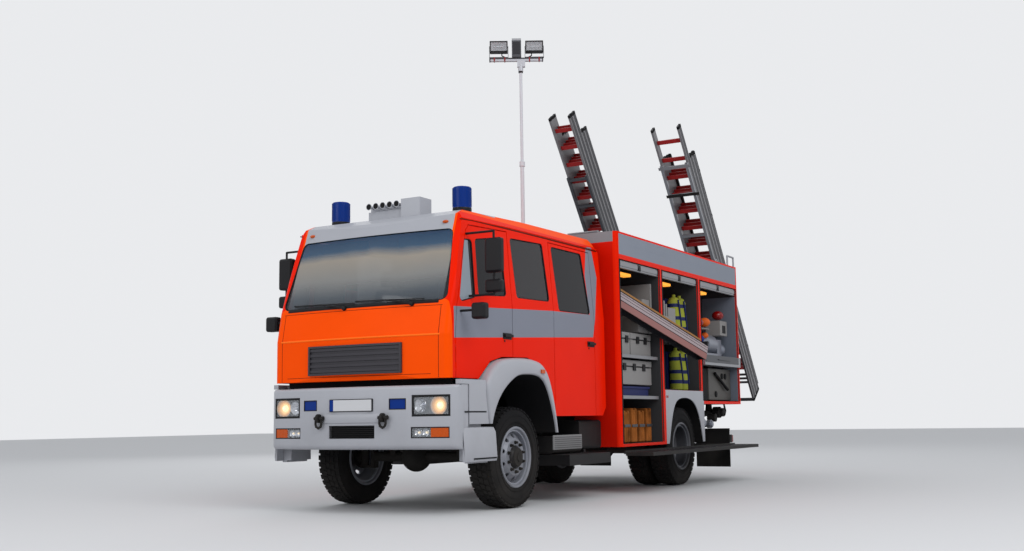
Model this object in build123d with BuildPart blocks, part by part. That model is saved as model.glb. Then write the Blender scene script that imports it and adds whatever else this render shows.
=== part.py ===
"""Crew-cab fire engine: shutter-locker body, telescopic light mast, tilting ladder racks on the roof.

Millimetres. +X is forward, +Y is the vehicle's left, +Z is up, and the ground is at z = 0.
Lengths along the vehicle are measured from the front axle, which lies at front_axle_x.
"""

import os
from math import cos, hypot, radians, sin

from build123d import *

os.makedirs("parts", exist_ok=True)

# Clearances
seat_gap = 0.3
door_gap = 10

# Wheels and axles
wheelbase = 4360
rear_axle_x = -wheelbase
tyre_radius = 527
bead_radius = 286
front_tyre_width = 300
rear_tyre_width = 280
front_tyre_y = 970
rear_outer_y = 1085
rear_inner_y = 755
kingpin_y = 860
knuckle_height = 190
hub_radius = 100
drum_radius = 120
disc_radius = 188
disc_thickness = 12
vent_count = 10
vent_radius = 24
front_disc_face = 120
front_hub_end = 165
rear_hub_end = -30
rear_drum_y = 860
front_differential = (-150, 165)
rear_differential = (0, 200)
spindle_flange_y = 925

# Chassis frame
rail_y = 380
rail_width = 80
rail_bottom_z = 780
rail_top_z = 1030
rail_wall = 10
rail_rear_x = rear_axle_x - 2160
spring_y = 440
spring_half_width = 35
leaf_pitch = 13
leaf_thickness = 15
spring_rise = 95

# Cab
cab_half_width = 1100
cab_gutter_half_width = 1035
cab_front_x = 1330
cab_corner_x = 1250
cab_corner_radius = 70
tumblehome_z = 2100
outline_spare = 30
cab_sill_z = 1700
frame_tunnel_y = 500
frame_tunnel_z = 1065
arch_gap = 12
cab_rear_x = -2240
cab_bottom_z = 1330
crew_bottom_z = 950
cab_crease_z = 1760
screen_base_z = 2070
gutter_z = 2950
cab_roof_z = 3125
cab_wall = 45
pane_depth = 12
pane_thickness = 6
driver_door_front_x = 1140
driver_door_rear_x = 10
crew_door_front_x = -920
crew_door_rear_x = -1970
door_top_z = 2925

# Bumper
bumper_front_x = 1367
bumper_corner_x = 1217
bumper_half_width = 1174
bumper_bottom_z = 640
bumper_top_z = 1265
bumper_depth = 190
bumper_edge_radius = 14
shackle_front_x = 1427
rail_front_x = bumper_corner_x - bumper_depth - seat_gap

# Locker body
body_front_x = -2344
body_rear_x = rear_axle_x - 2400
wheel_bay_front_x = rear_axle_x + 590
wheel_bay_rear_x = rear_axle_x - 820
body_half_width = 1250
body_top_z = 3230
body_roof_z = body_top_z - 110
body_floor_z = 1050
front_locker_bottom_z = 566
mid_locker_bottom_z = 1230
rear_locker_bottom_z = 1100
locker_back_y = 650
body_wall = 40
opening_top_z = body_top_z - 345
banner_wall = 40

# Fold-down side steps
step_front_x = -2400
step_rear_x = rear_axle_x - 2000
step_arm_x = (-2700, rear_axle_x + 760, rear_axle_x - 940, rear_axle_x - 1790)
step_hinge_y = body_half_width + 40
step_hinge_z = 500
step_width = 350
step_thickness = 40

# Ladder racks
rack_hinge_x = body_rear_x + 20
rack_hinge_z = body_top_z + 120
rack_tilt = 53
rack_tube = 22
rack_below = 300
rack_above = 1750
ladder_below = 2750
ladder_section_depth = 112
ladder_rail_width = 30
ladder_sections = 4
support_pole_radius = 32
rung_spacing = 300
rung_size = 28

# Light mast
mast_x = -2500
mast_y = -165
mast_base_bottom_z = 1110
mast_base_top_z = body_top_z + 90
stage_1_bottom_z = mast_base_top_z - 620
stage_1_top_z = mast_base_top_z + 980
stage_2_bottom_z = stage_1_top_z - 380
stage_2_top_z = stage_1_top_z + 1233
mast_head_yaw = 30
mast_base_radius = 36
stage_1_radius = 26
stage_2_radius = 20
tube_wall = 3
tube_clearance = 0.8

# Side tray
tray_pivot_x = -2500
tray_pivot_y = body_half_width - 220
tray_pivot_z = 2420
tray_length = 2080
tray_width = 160
tray_yaw = 15
tray_pitch = 19
tray_wall = 12
tray_side_height = 160
tray_start = 40

# The vehicle is centred on the origin between the shackles and the ladders' feet.
stack_top = rack_tube + ladder_sections * (ladder_section_depth + seat_gap)
ladder_reach = ladder_below * cos(radians(rack_tilt)) + stack_top * sin(radians(rack_tilt))
rear_reach = ladder_reach - rack_hinge_x
front_axle_x = (rear_reach - shackle_front_x) / 2


def side(y):
    """Upright plane at Y = y, local axes X from the front axle and Z; it extrudes towards -Y."""
    return Plane(origin=(front_axle_x, y, 0), x_dir=(1, 0, 0), z_dir=(0, -1, 0))


def across(x):
    """Upright plane across the vehicle at x from the front axle, local axes Y and Z."""
    return Plane(origin=(front_axle_x + x, 0, 0), x_dir=(0, 1, 0), z_dir=(1, 0, 0))


def level(z):
    """Flat plane at height z, local axes X from the front axle and Y."""
    return Plane(origin=(front_axle_x, 0, z))


def block(x, y, z, mode=Mode.ADD):
    """Adds or cuts a box between (low, high) pairs, x from the front axle."""
    middle = (front_axle_x + (x[0] + x[1]) / 2, (y[0] + y[1]) / 2, (z[0] + z[1]) / 2)
    with Locations(middle):
        Box(abs(x[1] - x[0]), abs(y[1] - y[0]), abs(z[1] - z[0]), mode=mode)


def prism(plane, points, amount, mode=Mode.ADD):
    """Extrudes a closed outline of straight lines from its plane."""
    with BuildSketch(plane) as outline:
        with BuildLine():
            Polyline(*points, close=True)
        make_face()
    extrude(outline.sketch, amount=amount, mode=mode)


def rod(start, end, radius, mode=Mode.ADD):
    """Round bar between two points, x from the front axle."""
    first = Vector(start[0] + front_axle_x, start[1], start[2])
    last = Vector(end[0] + front_axle_x, end[1], end[2])
    with BuildSketch(Plane(origin=first, z_dir=last - first)) as section:
        Circle(radius)
    extrude(section.sketch, amount=(last - first).length, mode=mode)


def save(part, name):
    """Labels a finished piece and writes it under its own name."""
    part.label = name
    export_step(part, f"parts/{name}.step")


def save_pair(part, name):
    """Writes a left-hand piece and its mirror image on the right."""
    save(part, name + "_left")
    save(mirror(part, about=Plane.XZ), name + "_right")


# Outlines of the front wheel-arch flares, from the front axle
arch_outer = (
    (640, 880),
    (690, 1180),
    (688, 1318),
    (470, 1505),
    (240, 1555),
    (-290, 1568),
    (-560, 1500),
    (-720, 1210),
    (-810, 770),
)
arch_inner = (
    (-775, 770),
    (-735, 930),
    (-610, 1220),
    (-440, 1390),
    (-20, 1395),
    (150, 1350),
    (380, 1215),
    (520, 1060),
    (610, 880),
)
arch_middle = (-60, 800)


def grown(points, distance):
    """Outline points moved away from the arch's middle."""
    moved = []
    for x, z in points:
        reach = hypot(x - arch_middle[0], z - arch_middle[1])
        share = distance / reach
        moved.append((x + (x - arch_middle[0]) * share, z + (z - arch_middle[1]) * share))
    return moved


# Cab outlines, from the front axle
cab_side_outline = (
    (cab_front_x - 40, cab_bottom_z),
    (cab_front_x + outline_spare, 1450),
    (cab_front_x + outline_spare, cab_crease_z),
    (cab_front_x + outline_spare, screen_base_z),
    (1000 + 2 * outline_spare, 2860),
    (930, 2985),
    (780, 3055),
    (-500, 3105),
    (-2200, cab_roof_z),
    (cab_rear_x, 3085),
    (cab_rear_x, 1050),
    (-2150, crew_bottom_z),
    (-835, crew_bottom_z),
    *reversed(grown(arch_outer[3:8], arch_gap)),
    (712, cab_bottom_z),
)
tumblehome_slope = (gutter_z - tumblehome_z) / (cab_half_width - cab_gutter_half_width)
cab_cross_half = (
    (frame_tunnel_y, frame_tunnel_z),
    (frame_tunnel_y, 900),
    (cab_half_width + outline_spare, 900),
    (cab_half_width + outline_spare, tumblehome_z - outline_spare * tumblehome_slope),
    (cab_gutter_half_width, gutter_z),
    (900, cab_roof_z + 20),
)
cab_cross_outline = (*cab_cross_half, *((-y, z) for y, z in reversed(cab_cross_half)))
# Heights of the nose's three bands, and how far the front leans back over each
nose_bands = ((900, cab_crease_z, 0), (cab_crease_z, screen_base_z, 60), (screen_base_z, 3200, 386))


def cab_form(inset):
    """Solid cab body, its whole skin moved inwards by inset."""
    lean = 0
    with BuildPart() as nose:
        for low, high, back in nose_bands:
            with BuildSketch(level(low)) as plan:
                with BuildLine():
                    ThreePointArc(
                        (cab_corner_x - lean, cab_half_width),
                        (cab_front_x - lean, 0),
                        (cab_corner_x - lean, -cab_half_width),
                    )
                    Polyline(
                        (cab_corner_x - lean, -cab_half_width),
                        (cab_rear_x - 900, -cab_half_width),
                        (cab_rear_x - 900, cab_half_width),
                        (cab_corner_x - lean, cab_half_width),
                    )
                make_face()
                corners = plan.vertices().group_by(Axis.X)[-1]
                fillet(corners, radius=cab_corner_radius)
                offset(amount=-inset, kind=Kind.INTERSECTION, mode=Mode.REPLACE)
            rise = high - low
            extrude(plan.sketch, amount=hypot(rise, back), dir=Vector(-back, 0, rise).normalized())
            lean += back
    with BuildPart() as form:
        add(nose.part)
        with BuildSketch(side(cab_half_width + 100)) as profile:
            with BuildLine():
                Polyline(*cab_side_outline, close=True)
            make_face()
            offset(amount=-inset, kind=Kind.INTERSECTION, mode=Mode.REPLACE)
        extrude(profile.sketch, amount=2 * cab_half_width + 200, mode=Mode.INTERSECT)
        with BuildSketch(across(cab_rear_x - 100)) as section:
            with BuildLine():
                Polyline(*cab_cross_outline, close=True)
            make_face()
            offset(amount=-inset, kind=Kind.INTERSECTION, mode=Mode.REPLACE)
        extrude(section.sketch, amount=cab_front_x - cab_rear_x + 400, mode=Mode.INTERSECT)
    return form.part


# Side windows, left side, as (x, z) corners; the same prisms cut both sides
quarter_window = ((880, 2740), (740, 2745), (750, 2147), (1065, 2075))
driver_window = ((680, 2760), (150, 2845), (120, 2210), (690, 2170))
middle_window = ((-40, 2860), (-780, 2886), (-850, 2228), (-100, 2212))
crew_window = ((-980, 2880), (-1750, 2883), (-1870, 2153), (-1060, 2141))
# Windscreen as (y, z) corners, seen from the front
screen_window = ((965, 2845), (-965, 2845), (-1045, 2095), (1045, 2095))
# Door outlines as (x, z) corners
driver_door_outline = (
    (driver_door_front_x, 1300),
    (driver_door_front_x, cab_crease_z),
    (1112, screen_base_z - 20),
    (852, door_top_z - 95),
    (790, door_top_z - 30),
    (driver_door_rear_x, door_top_z),
    (driver_door_rear_x, 1300),
)
crew_door_outline = (
    (crew_door_front_x, crew_bottom_z - 10),
    (crew_door_front_x, door_top_z),
    (crew_door_rear_x, door_top_z),
    (crew_door_rear_x, crew_bottom_z - 10),
)


def window_prism(points, inset, half_width=1300, inner=500):
    """Window opening through the left wall, its edge moved inwards by inset."""
    with BuildPart() as cutter:
        with BuildSketch(side(half_width)) as outline:
            with BuildLine():
                Polyline(*points, close=True)
            make_face()
            fillet(outline.vertices(), radius=45)
            offset(amount=-inset, kind=Kind.ARC, mode=Mode.REPLACE)
        extrude(outline.sketch, amount=half_width - inner)
    return cutter.part


def screen_prism(inset):
    """Windscreen opening, its edge moved inwards by inset."""
    with BuildPart() as cutter:
        with BuildSketch(across(600)) as outline:
            with BuildLine():
                Polyline(*screen_window, close=True)
            make_face()
            fillet(outline.vertices(), radius=70)
            offset(amount=-inset, kind=Kind.ARC, mode=Mode.REPLACE)
        extrude(outline.sketch, amount=900)
    return cutter.part


def door_prism(points, inset):
    """Door opening through the left wall, its edge moved inwards by inset."""
    with BuildPart() as cutter:
        with BuildSketch(side(1300)) as outline:
            with BuildLine():
                Polyline(*points, close=True)
            make_face()
            offset(amount=-inset, kind=Kind.INTERSECTION, mode=Mode.REPLACE)
        extrude(outline.sketch, amount=1300 - 960)
        below_sill = (900, cab_half_width - cab_wall)
        block((cab_rear_x, cab_front_x), below_sill, (0, cab_sill_z), mode=Mode.SUBTRACT)
    return cutter.part


def both_sides(part):
    return part + mirror(part, about=Plane.XZ)


cab_outer = cab_form(0)
cab_inner = cab_form(cab_wall)
cab_skin = cab_outer - cab_inner
pane_skin = cab_form(pane_depth) - cab_form(pane_depth + pane_thickness)

# Doors, their panes and the shell that they leave: outline, windows, front edge, hinge heights
doors = {
    "driver": (driver_door_outline, (quarter_window, driver_window), driver_door_front_x, (1400, 1640)),
    "crew": (crew_door_outline, (crew_window,), crew_door_front_x, (1100, 2000)),
}
cab_shell = cab_skin - screen_prism(0) - both_sides(window_prism(middle_window, 0))
for name, (outline, windows, front_x, hinge_heights) in doors.items():
    leaf = cab_skin & door_prism(outline, door_gap)
    with BuildPart() as hinge_bosses:
        for z in hinge_heights:
            boss_y = (cab_half_width - 16, cab_half_width - 1)
            block((front_x - door_gap - 5, front_x - seat_gap), boss_y, (z, z + 80))
    leaf = leaf + hinge_bosses.part
    panes = Part()
    for window in windows:
        leaf = leaf - window_prism(window, 0)
        panes = panes + (pane_skin & window_prism(window, seat_gap))
    save_pair(leaf, name + "_door")
    save_pair(panes, name + "_door_panes")
    cab_shell = cab_shell - both_sides(door_prism(outline, 0))
save(cab_shell, "cab_shell")

cab_windows = (pane_skin & screen_prism(seat_gap)) + both_sides(
    pane_skin & window_prism(middle_window, seat_gap)
)
save(cab_windows, "cab_windows")

# Seats, dashboard and the raised floor over the engine
seat_foot_z = 1560
with BuildPart() as cab_interior:
    block((760, 1300), (-950, 950), (1640, 2000))
    block((-400, 200), (-500, 500), (seat_foot_z, 1700))
    for seat_y in (600, -600):
        block((-60, 420), (seat_y - 240, seat_y + 240), (seat_foot_z, 1760))
        block((-160, -60), (seat_y - 230, seat_y + 230), (seat_foot_z, 2380))
    block((-2060, -1620), (-900, 900), (frame_tunnel_z + cab_wall + seat_gap, 1420))
    block((-2150, -2060), (-900, 900), (frame_tunnel_z + cab_wall + seat_gap, 2150))
save(cab_interior.part & cab_form(cab_wall + seat_gap), "cab_interior")

# Chassis frame: channel rails, cross members, leaf springs and underrun bar
web_y = rail_y + rail_width - rail_wall
cross_member_x = (920, -1100, -2700, wheel_bay_rear_x - 120, rail_rear_x + 40)
# Leaf springs as middle x, half length, height of the top leaf at the axle, number of leaves
springs = ((0, 620, 650, 3), (rear_axle_x, 700, 660, 4))
underrun_z = (520, 640)
step_arm_z = (step_hinge_z - 20, step_hinge_z + 20)


def spring_foot_z(spring):
    """Height of the underside of a spring's lowest leaf."""
    middle, half_length, top, leaves = spring
    return top - (leaves - 1) * leaf_pitch - leaf_thickness


def leaf_spring(spring, y):
    """Pack of curved leaves, each shorter than the one above it."""
    middle, half_length, top, leaves = spring
    with BuildPart() as pack:
        for leaf in range(leaves):
            reach = half_length * (1 - 0.22 * leaf)
            crown = top - leaf * leaf_pitch
            tip = crown + spring_rise * (reach / half_length) ** 2
            with BuildSketch(side(y + spring_half_width)) as profile:
                with BuildLine():
                    for low in (0, leaf_thickness):
                        ThreePointArc(
                            (middle - reach, tip - low),
                            (middle, crown - low),
                            (middle + reach, tip - low),
                        )
                    for end in (middle - reach, middle + reach):
                        Line((end, tip), (end, tip - leaf_thickness))
                make_face()
            extrude(profile.sketch, amount=2 * spring_half_width)
    return pack.part


with BuildPart() as chassis_frame:
    for sign in (-1, 1):
        rail = sorted((sign * rail_y, sign * (rail_y + rail_width)))
        channel = sorted((sign * (rail_y - 1), sign * web_y))
        channel_z = (rail_bottom_z + rail_wall, rail_top_z - rail_wall)
        block((rail_rear_x, rail_front_x), rail, (rail_bottom_z, rail_top_z))
        block((rail_rear_x - 1, rail_front_x - rail_wall), channel, channel_z, mode=Mode.SUBTRACT)
    member_y = (-web_y + seat_gap, web_y - seat_gap)
    for x in cross_member_x:
        block((x, x + 80), member_y, (rail_bottom_z + rail_wall + seat_gap, rail_top_z - 30))
    for spring in springs:
        middle, half_length, top, leaves = spring
        for y in (-spring_y, spring_y):
            add(leaf_spring(spring, y))
            for end in (-half_length, half_length - 50):
                hanger_x = (middle + end, middle + end + 50)
                hanger_y = (y - spring_half_width, y + spring_half_width)
                hanger_z = (top + spring_rise + seat_gap, rail_bottom_z - seat_gap)
                block(hanger_x, hanger_y, hanger_z)
    block((rail_rear_x - 80, rail_rear_x), (-1150, 1150), underrun_z)
    for y in (-420, 420):
        post_x = (rail_rear_x - 40, rail_rear_x + 20)
        block(post_x, (y - 40, y + 40), (underrun_z[1] + seat_gap, rail_bottom_z - seat_gap))
        bearer_z = (rail_top_z + seat_gap, body_floor_z - seat_gap)
        block((rail_rear_x + 20, body_front_x - 56), (y - 40, y + 40), bearer_z)
        for x in (-2100, -1000):
            block((x, x + 80), (y - 40, y + 40), (rail_top_z + seat_gap, frame_tunnel_z - seat_gap))
        block((900, 980), (y - 40, y + 40), (rail_top_z + seat_gap, cab_bottom_z - seat_gap))
save(chassis_frame.part, "chassis_frame")

# Arms that carry the hinges of the side steps
with BuildPart() as step_arms:
    for sign in (-1, 1):
        outer = rail_y + rail_width + seat_gap
        for x in step_arm_x:
            drop_y = sorted((sign * outer, sign * (outer + 40)))
            arm_y = sorted((sign * outer, sign * (step_hinge_y - 40 - seat_gap)))
            block((x - 25, x + 25), drop_y, (step_arm_z[1] + seat_gap, rail_bottom_z + 60))
            block((x - 25, x + 25), arm_y, step_arm_z)
        hinge_bar_y = sorted((sign * (step_hinge_y - 40), sign * (step_hinge_y - 15)))
        block((step_rear_x, step_front_x), hinge_bar_y, step_arm_z)
save(step_arms.part, "step_arms")

# Engine as one block, with its gearbox, transfer case and the shafts to the axles
transfer_case_x = (-1480, -1180)
with BuildPart() as engine_block:
    block((-350, 850), (-350, 350), (700, 1300))
    for x in (-200, 600):
        block((x, x + 80), (-web_y + seat_gap, web_y - seat_gap), (900, 960))
    rod((-350, 0, 800), (-1000, 0, 800), 130)
    rod((-1000, 0, 740), (transfer_case_x[1], 0, 740), 45)
    block(transfer_case_x, (-190, 190), (580, 800))
    shaft_y, radius = front_differential
    rod((transfer_case_x[1], shaft_y, 640), (-radius - 3, shaft_y, 560), 38)
    shaft_y, radius = rear_differential
    rod((transfer_case_x[0], shaft_y, 640), (rear_axle_x + radius + 3, shaft_y, 545), 45)
save(engine_block.part, "engine_block")

# Axle beams with their differentials
with BuildPart() as front_axle:
    rod((0, -700, tyre_radius), (0, 700, tyre_radius), 55)
    with Locations((front_axle_x, front_differential[0], tyre_radius)):
        Sphere(front_differential[1])
    for y in (-spring_y, spring_y):
        pad_z = (tyre_radius, spring_foot_z(springs[0]) - seat_gap)
        block((-50, 50), (y - spring_half_width, y + spring_half_width), pad_z)
    for y in (-1, 1):
        inner, outer = 700 * y, (kingpin_y + 38) * y
        fork_low = tyre_radius - knuckle_height / 2 - seat_gap - 30
        fork_high = tyre_radius + knuckle_height / 2 + seat_gap + 30
        block((-45, 45), (min(inner, outer), max(inner, outer)), (fork_low, fork_low + 30))
        block((-45, 45), (min(inner, outer), max(inner, outer)), (fork_high - 30, fork_high))
        block((-45, 45), (min(inner, 740 * y), max(inner, 740 * y)), (fork_low, fork_high))
save(front_axle.part, "front_axle")

with BuildPart() as rear_axle:
    rod((rear_axle_x, -700, tyre_radius), (rear_axle_x, 700, tyre_radius), 70)
    for y in (-1, 1):
        rod((rear_axle_x, 680 * y, tyre_radius), (rear_axle_x, rear_drum_y * y, tyre_radius), 200)
    with Locations((front_axle_x + rear_axle_x, rear_differential[0], tyre_radius)):
        Sphere(rear_differential[1])
    for y in (-spring_y, spring_y):
        pad_z = (tyre_radius, spring_foot_z(springs[1]) - seat_gap)
        block((rear_axle_x - 60, rear_axle_x + 60), (y - spring_half_width, y + spring_half_width), pad_z)
save(rear_axle.part, "rear_axle")

with BuildPart() as knuckle:
    rod(
        (0, kingpin_y, tyre_radius - knuckle_height / 2),
        (0, kingpin_y, tyre_radius + knuckle_height / 2),
        50,
    )
    rod((0, kingpin_y, tyre_radius), (0, spindle_flange_y, tyre_radius), 75)
save_pair(knuckle.part, "knuckle")


def wheel_plane(x, y):
    """Upright plane through a wheel's axis, local axes outwards along Y and up."""
    return Plane(origin=(front_axle_x + x, y, tyre_radius), x_dir=(0, 1, 0), z_dir=(1, 0, 0))


def tyre(x, y, width):
    """Tyre as a ring of one cross-section."""
    half = width / 2
    plane = wheel_plane(x, y)
    with BuildPart() as ring:
        with BuildSketch(plane) as section:
            with BuildLine():
                Polyline(
                    (-half + 35, bead_radius),
                    (-half, bead_radius + 100),
                    (-half + 6, tyre_radius - 60),
                    (-half + 36, tyre_radius),
                    (half - 36, tyre_radius),
                    (half - 6, tyre_radius - 60),
                    (half, bead_radius + 100),
                    (half - 35, bead_radius),
                    close=True,
                )
            make_face()
        revolve(section.sketch, axis=Axis(plane.origin, (0, 1, 0)))
    return ring.part


def rim(x, y, width, root, face, hub=None, bore=0):
    """Steel rim: barrel, vented disc from root to its bolting face, hub drum as (inner, outer) end."""
    half = width / 2 - 30
    plane = wheel_plane(x, y)
    outer = bead_radius - seat_gap
    if hub:
        middle = (
            (face + disc_thickness, drum_radius),
            (hub[1], hub_radius),
            (hub[1], 0),
            (hub[0], 0),
            (hub[0], drum_radius),
            (face, drum_radius),
        )
    else:
        middle = ((face + disc_thickness, bore), (face, bore))
    with BuildPart() as wheel:
        with BuildSketch(plane) as section:
            with BuildLine():
                Polyline(
                    (-half, outer),
                    (half, outer),
                    (half, outer - 16),
                    (half - 30, outer - 22),
                    (root + 15, outer - 26),
                    (face + disc_thickness, disc_radius),
                    *middle,
                    (face, disc_radius - 5),
                    (root, outer - 28),
                    (-half, outer - 16),
                    close=True,
                )
            make_face()
        revolve(section.sketch, axis=Axis(plane.origin, (0, 1, 0)))
        with BuildSketch(Plane(origin=plane.origin - Vector(0, 400, 0), z_dir=(0, 1, 0))) as vents:
            with PolarLocations((disc_radius + outer - 28) / 2, vent_count):
                Circle(vent_radius)
        extrude(vents.sketch, amount=800, mode=Mode.SUBTRACT)
    return wheel.part


save_pair(tyre(0, front_tyre_y, front_tyre_width), "front_tyre")
front_hub = (spindle_flange_y + seat_gap - front_tyre_y, front_hub_end)
save_pair(rim(0, front_tyre_y, front_tyre_width, 55, front_disc_face, front_hub), "front_rim")
outer_tyre = tyre(rear_axle_x, rear_outer_y, rear_tyre_width)
rear_tyres = outer_tyre + tyre(rear_axle_x, rear_inner_y, rear_tyre_width)
save_pair(rear_tyres, "rear_tyres")
twin_plane_y = (rear_outer_y + rear_inner_y) / 2
rear_hub = (rear_drum_y + seat_gap - rear_outer_y, rear_hub_end)
outer_rim = rim(rear_axle_x, rear_outer_y, rear_tyre_width, -60, twin_plane_y - rear_outer_y, rear_hub)
inner_face = twin_plane_y - disc_thickness - seat_gap - rear_inner_y
inner_rim = rim(rear_axle_x, rear_inner_y, rear_tyre_width, 60, inner_face, bore=drum_radius + seat_gap)
save_pair(outer_rim + inner_rim, "rear_rims")

# Bumper with its lamp, plate and intake recesses
head_lamp_y = (700, 1100)
head_lamp_z = (960, 1170)
fog_lamp_z = (750, 860)
blue_flasher_y = (450, 640)
blue_flasher_z = (1030, 1140)
lamp_recess = 60


def bumper_form(inset):
    """Bumper beam, bowed in plan, its skin moved inwards by inset."""
    with BuildPart() as form:
        with BuildSketch(level(bumper_bottom_z + inset)) as plan:
            with BuildLine():
                front = ThreePointArc(
                    (bumper_corner_x, bumper_half_width),
                    (bumper_front_x, 0),
                    (bumper_corner_x, -bumper_half_width),
                )
                Polyline(
                    front @ 1,
                    (bumper_corner_x - bumper_depth, -bumper_half_width),
                    (bumper_corner_x - bumper_depth, bumper_half_width),
                    front @ 0,
                )
            make_face()
            fillet(plan.vertices().group_by(Axis.X)[-1], radius=70)
            offset(amount=-inset, kind=Kind.INTERSECTION, mode=Mode.REPLACE)
        extrude(plan.sketch, amount=bumper_top_z - bumper_bottom_z - 2 * inset)
        if inset == 0:
            levels = form.edges().group_by(Axis.Z)
            front_edges = (levels[0] + levels[-1]).filter_by(GeomType.LINE, reverse=True)
            fillet(front_edges, radius=bumper_edge_radius)
    return form.part


bumper_solid = bumper_form(0)
lamp_bed = bumper_form(lamp_recess)
lamp_front = bumper_form(6)


def lamp_boxes(ranges_y, range_z, inset, reach=1500):
    """Straight prisms forward through the bumper for both sides, edges moved in by inset."""
    with BuildPart() as boxes:
        for low, high in ranges_y:
            z = (range_z[0] + inset, range_z[1] - inset)
            block((bumper_corner_x - bumper_depth - 10, reach), (low + inset, high - inset), z)
            block((bumper_corner_x - bumper_depth - 10, reach), (-high + inset, -low - inset), z)
    return boxes.part


lamp_windows = (
    lamp_boxes((head_lamp_y,), head_lamp_z, 0)
    + lamp_boxes(((690, 1090),), fog_lamp_z, 0)
    + lamp_boxes((blue_flasher_y,), blue_flasher_z, 0)
)
with BuildPart() as bumper:
    add(bumper_solid - (lamp_windows - lamp_bed))
    block((1290, 1400), (-285, 285), (750, 880), mode=Mode.SUBTRACT)
    for y in (-400, 400):
        with BuildSketch(side(y + 12)) as shackle:
            with Locations((shackle_front_x - 45, 955)):
                Circle(45)
                Circle(22, mode=Mode.SUBTRACT)
            with Locations((shackle_front_x - 110, 955)):
                Rectangle(80, 50)
        extrude(shackle.sketch, amount=24)
save(bumper.part, "bumper")
lamp_layer = lamp_front - bumper_form(lamp_recess - seat_gap)
save(lamp_layer & lamp_boxes((head_lamp_y,), head_lamp_z, 4), "head_lamps")
fog_lamps = lamp_layer & lamp_boxes(((960, 1090),), fog_lamp_z, 4)
arch_marker_y = 1200
with BuildPart() as amber_lamps:
    add(fog_lamps)
    for y in (arch_marker_y + seat_gap, -arch_marker_y - seat_gap - 15):
        block((-490, -410), (y, y + 15), (1410, 1450))
save(amber_lamps.part, "amber_lamps")
beacon_x = 520
beacon_y = 800
beacon_radius = 100
beacon_z = (3095, 3350)
with BuildPart() as blue_lamps:
    add(lamp_layer & lamp_boxes((blue_flasher_y,), blue_flasher_z, 4))
    for y in (beacon_y, -beacon_y):
        rod((beacon_x, y, beacon_z[0] + 30), (beacon_x, y, beacon_z[1]), beacon_radius)
    fillet(blue_lamps.edges().filter_by(GeomType.CIRCLE).group_by(Axis.Z)[-1], radius=18)
save(blue_lamps.part, "blue_lamps")

# Grille: a raised frame round bars that stand back from it, let into the cab's front
grille_half_width = 585
grille_z = (1390, 1690)
grille_frame = 22
grille_bar_pitch = 54
grille_bar_height = 26
grille_bars = 5


def nose_layer(outer, inner, y, z):
    """Layer between two offsets of the cab's front, cut to a window (y, z)."""
    with BuildPart() as layer:
        add(cab_form(-outer) - cab_form(-inner))
        block((1000, 1400), y, z, mode=Mode.INTERSECT)
    return layer.part


grille_inner_y = (-grille_half_width + grille_frame, grille_half_width - grille_frame)
grille_inner_z = (grille_z[0] + grille_frame, grille_z[1] - grille_frame)
with BuildPart() as grille:
    add(nose_layer(22, seat_gap, (-grille_half_width, grille_half_width), grille_z))
    block((1000, 1400), grille_inner_y, grille_inner_z, mode=Mode.SUBTRACT)
    add(nose_layer(4, seat_gap, grille_inner_y, grille_inner_z))
    for number in range(grille_bars):
        bar_low = grille_inner_z[0] + 7 + number * grille_bar_pitch
        add(nose_layer(16, 3, grille_inner_y, (bar_low, bar_low + grille_bar_height)))
save(grille.part, "grille")

# White side panels and stepped housings below the cab doors
with BuildPart() as cab_steps:
    upper_panel = (
        (1170, 1270),
        (1170, 1316),
        (702, 1316),
        (702, 1180),
        (652, 880),
        (1020, 880),
        (1020, 1270),
    )
    prism(side(1180), upper_panel, 60)
    prism(side(1180), ((1020, 500), (1020, 850), (660, 850), (690, 500)), 60)
    prism(side(1120), ((1020, 520), (1020, 1300), (720, 1300), (700, 520)), 60)
    block((900, 960), (rail_y + rail_width, 1060), (800, 900))
    mirror(about=Plane.XZ)
save(cab_steps.part, "cab_steps")

with BuildPart() as crew_steps:
    block((-1950, -900), (700, 1280), (400, 520))
    block((-1500, -1450), (720, 1000), (520 + seat_gap, 530 - seat_gap))
    block((-1900, -1850), (720, 980), (520 + seat_gap, 560 - seat_gap))
    mirror(about=Plane.XZ)
save(crew_steps.part, "crew_steps")

# Fuel tank and battery box as x, y, z ranges, with the brackets that hang them on the frame
tanks = (
    ((-1650, -950), (520, 1050), (530, 720), (-1500, -1100)),
    ((-2290, -1700), (500, 1000), (560, 900), (-2200, -1800)),
)


def rounded_tank(x, y, z):
    """Tank with its long edges rounded."""
    with BuildPart() as tank:
        block(x, y, z)
        fillet(tank.edges().filter_by(Axis.X), radius=40)
    return tank.part


with BuildPart() as side_tanks:
    for x, y, z, bracket_x in tanks:
        add(rounded_tank(x, y, z))
        block(bracket_x, (rail_y + rail_width + seat_gap, y[0] - seat_gap), (600, 840))
    mirror(about=Plane.XZ)
save(side_tanks.part, "side_tanks")

# Wheel-arch flares of the cab
with BuildPart() as front_arches:
    prism(side(1200), arch_outer + arch_inner, 150)
    block((-806, -778), (rail_y + rail_width + seat_gap, 1060), (780, 810))
    mirror(about=Plane.XZ)
save(front_arches.part, "front_arches")

# Mirrors on bent tube arms, carried by the driver's doors: heads as x, y, z ranges
mirror_heads = (
    ((760, 830), (1250, 1440), (2380, 2730)),
    ((760, 830), (1250, 1440), (2180, 2310)),
    ((1000, 1080), (1240, 1400), (1900, 2060)),
)
mirror_tube = 12


def mirror_head(x, y, z):
    """Mirror housing with rounded corners and a tapered back."""
    with BuildPart() as head:
        block(x, y, z)
        fillet(head.edges().filter_by(Axis.X), radius=28)
        chamfer(head.faces().sort_by(Axis.X)[-1].edges(), length=20)
    return head.part


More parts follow.
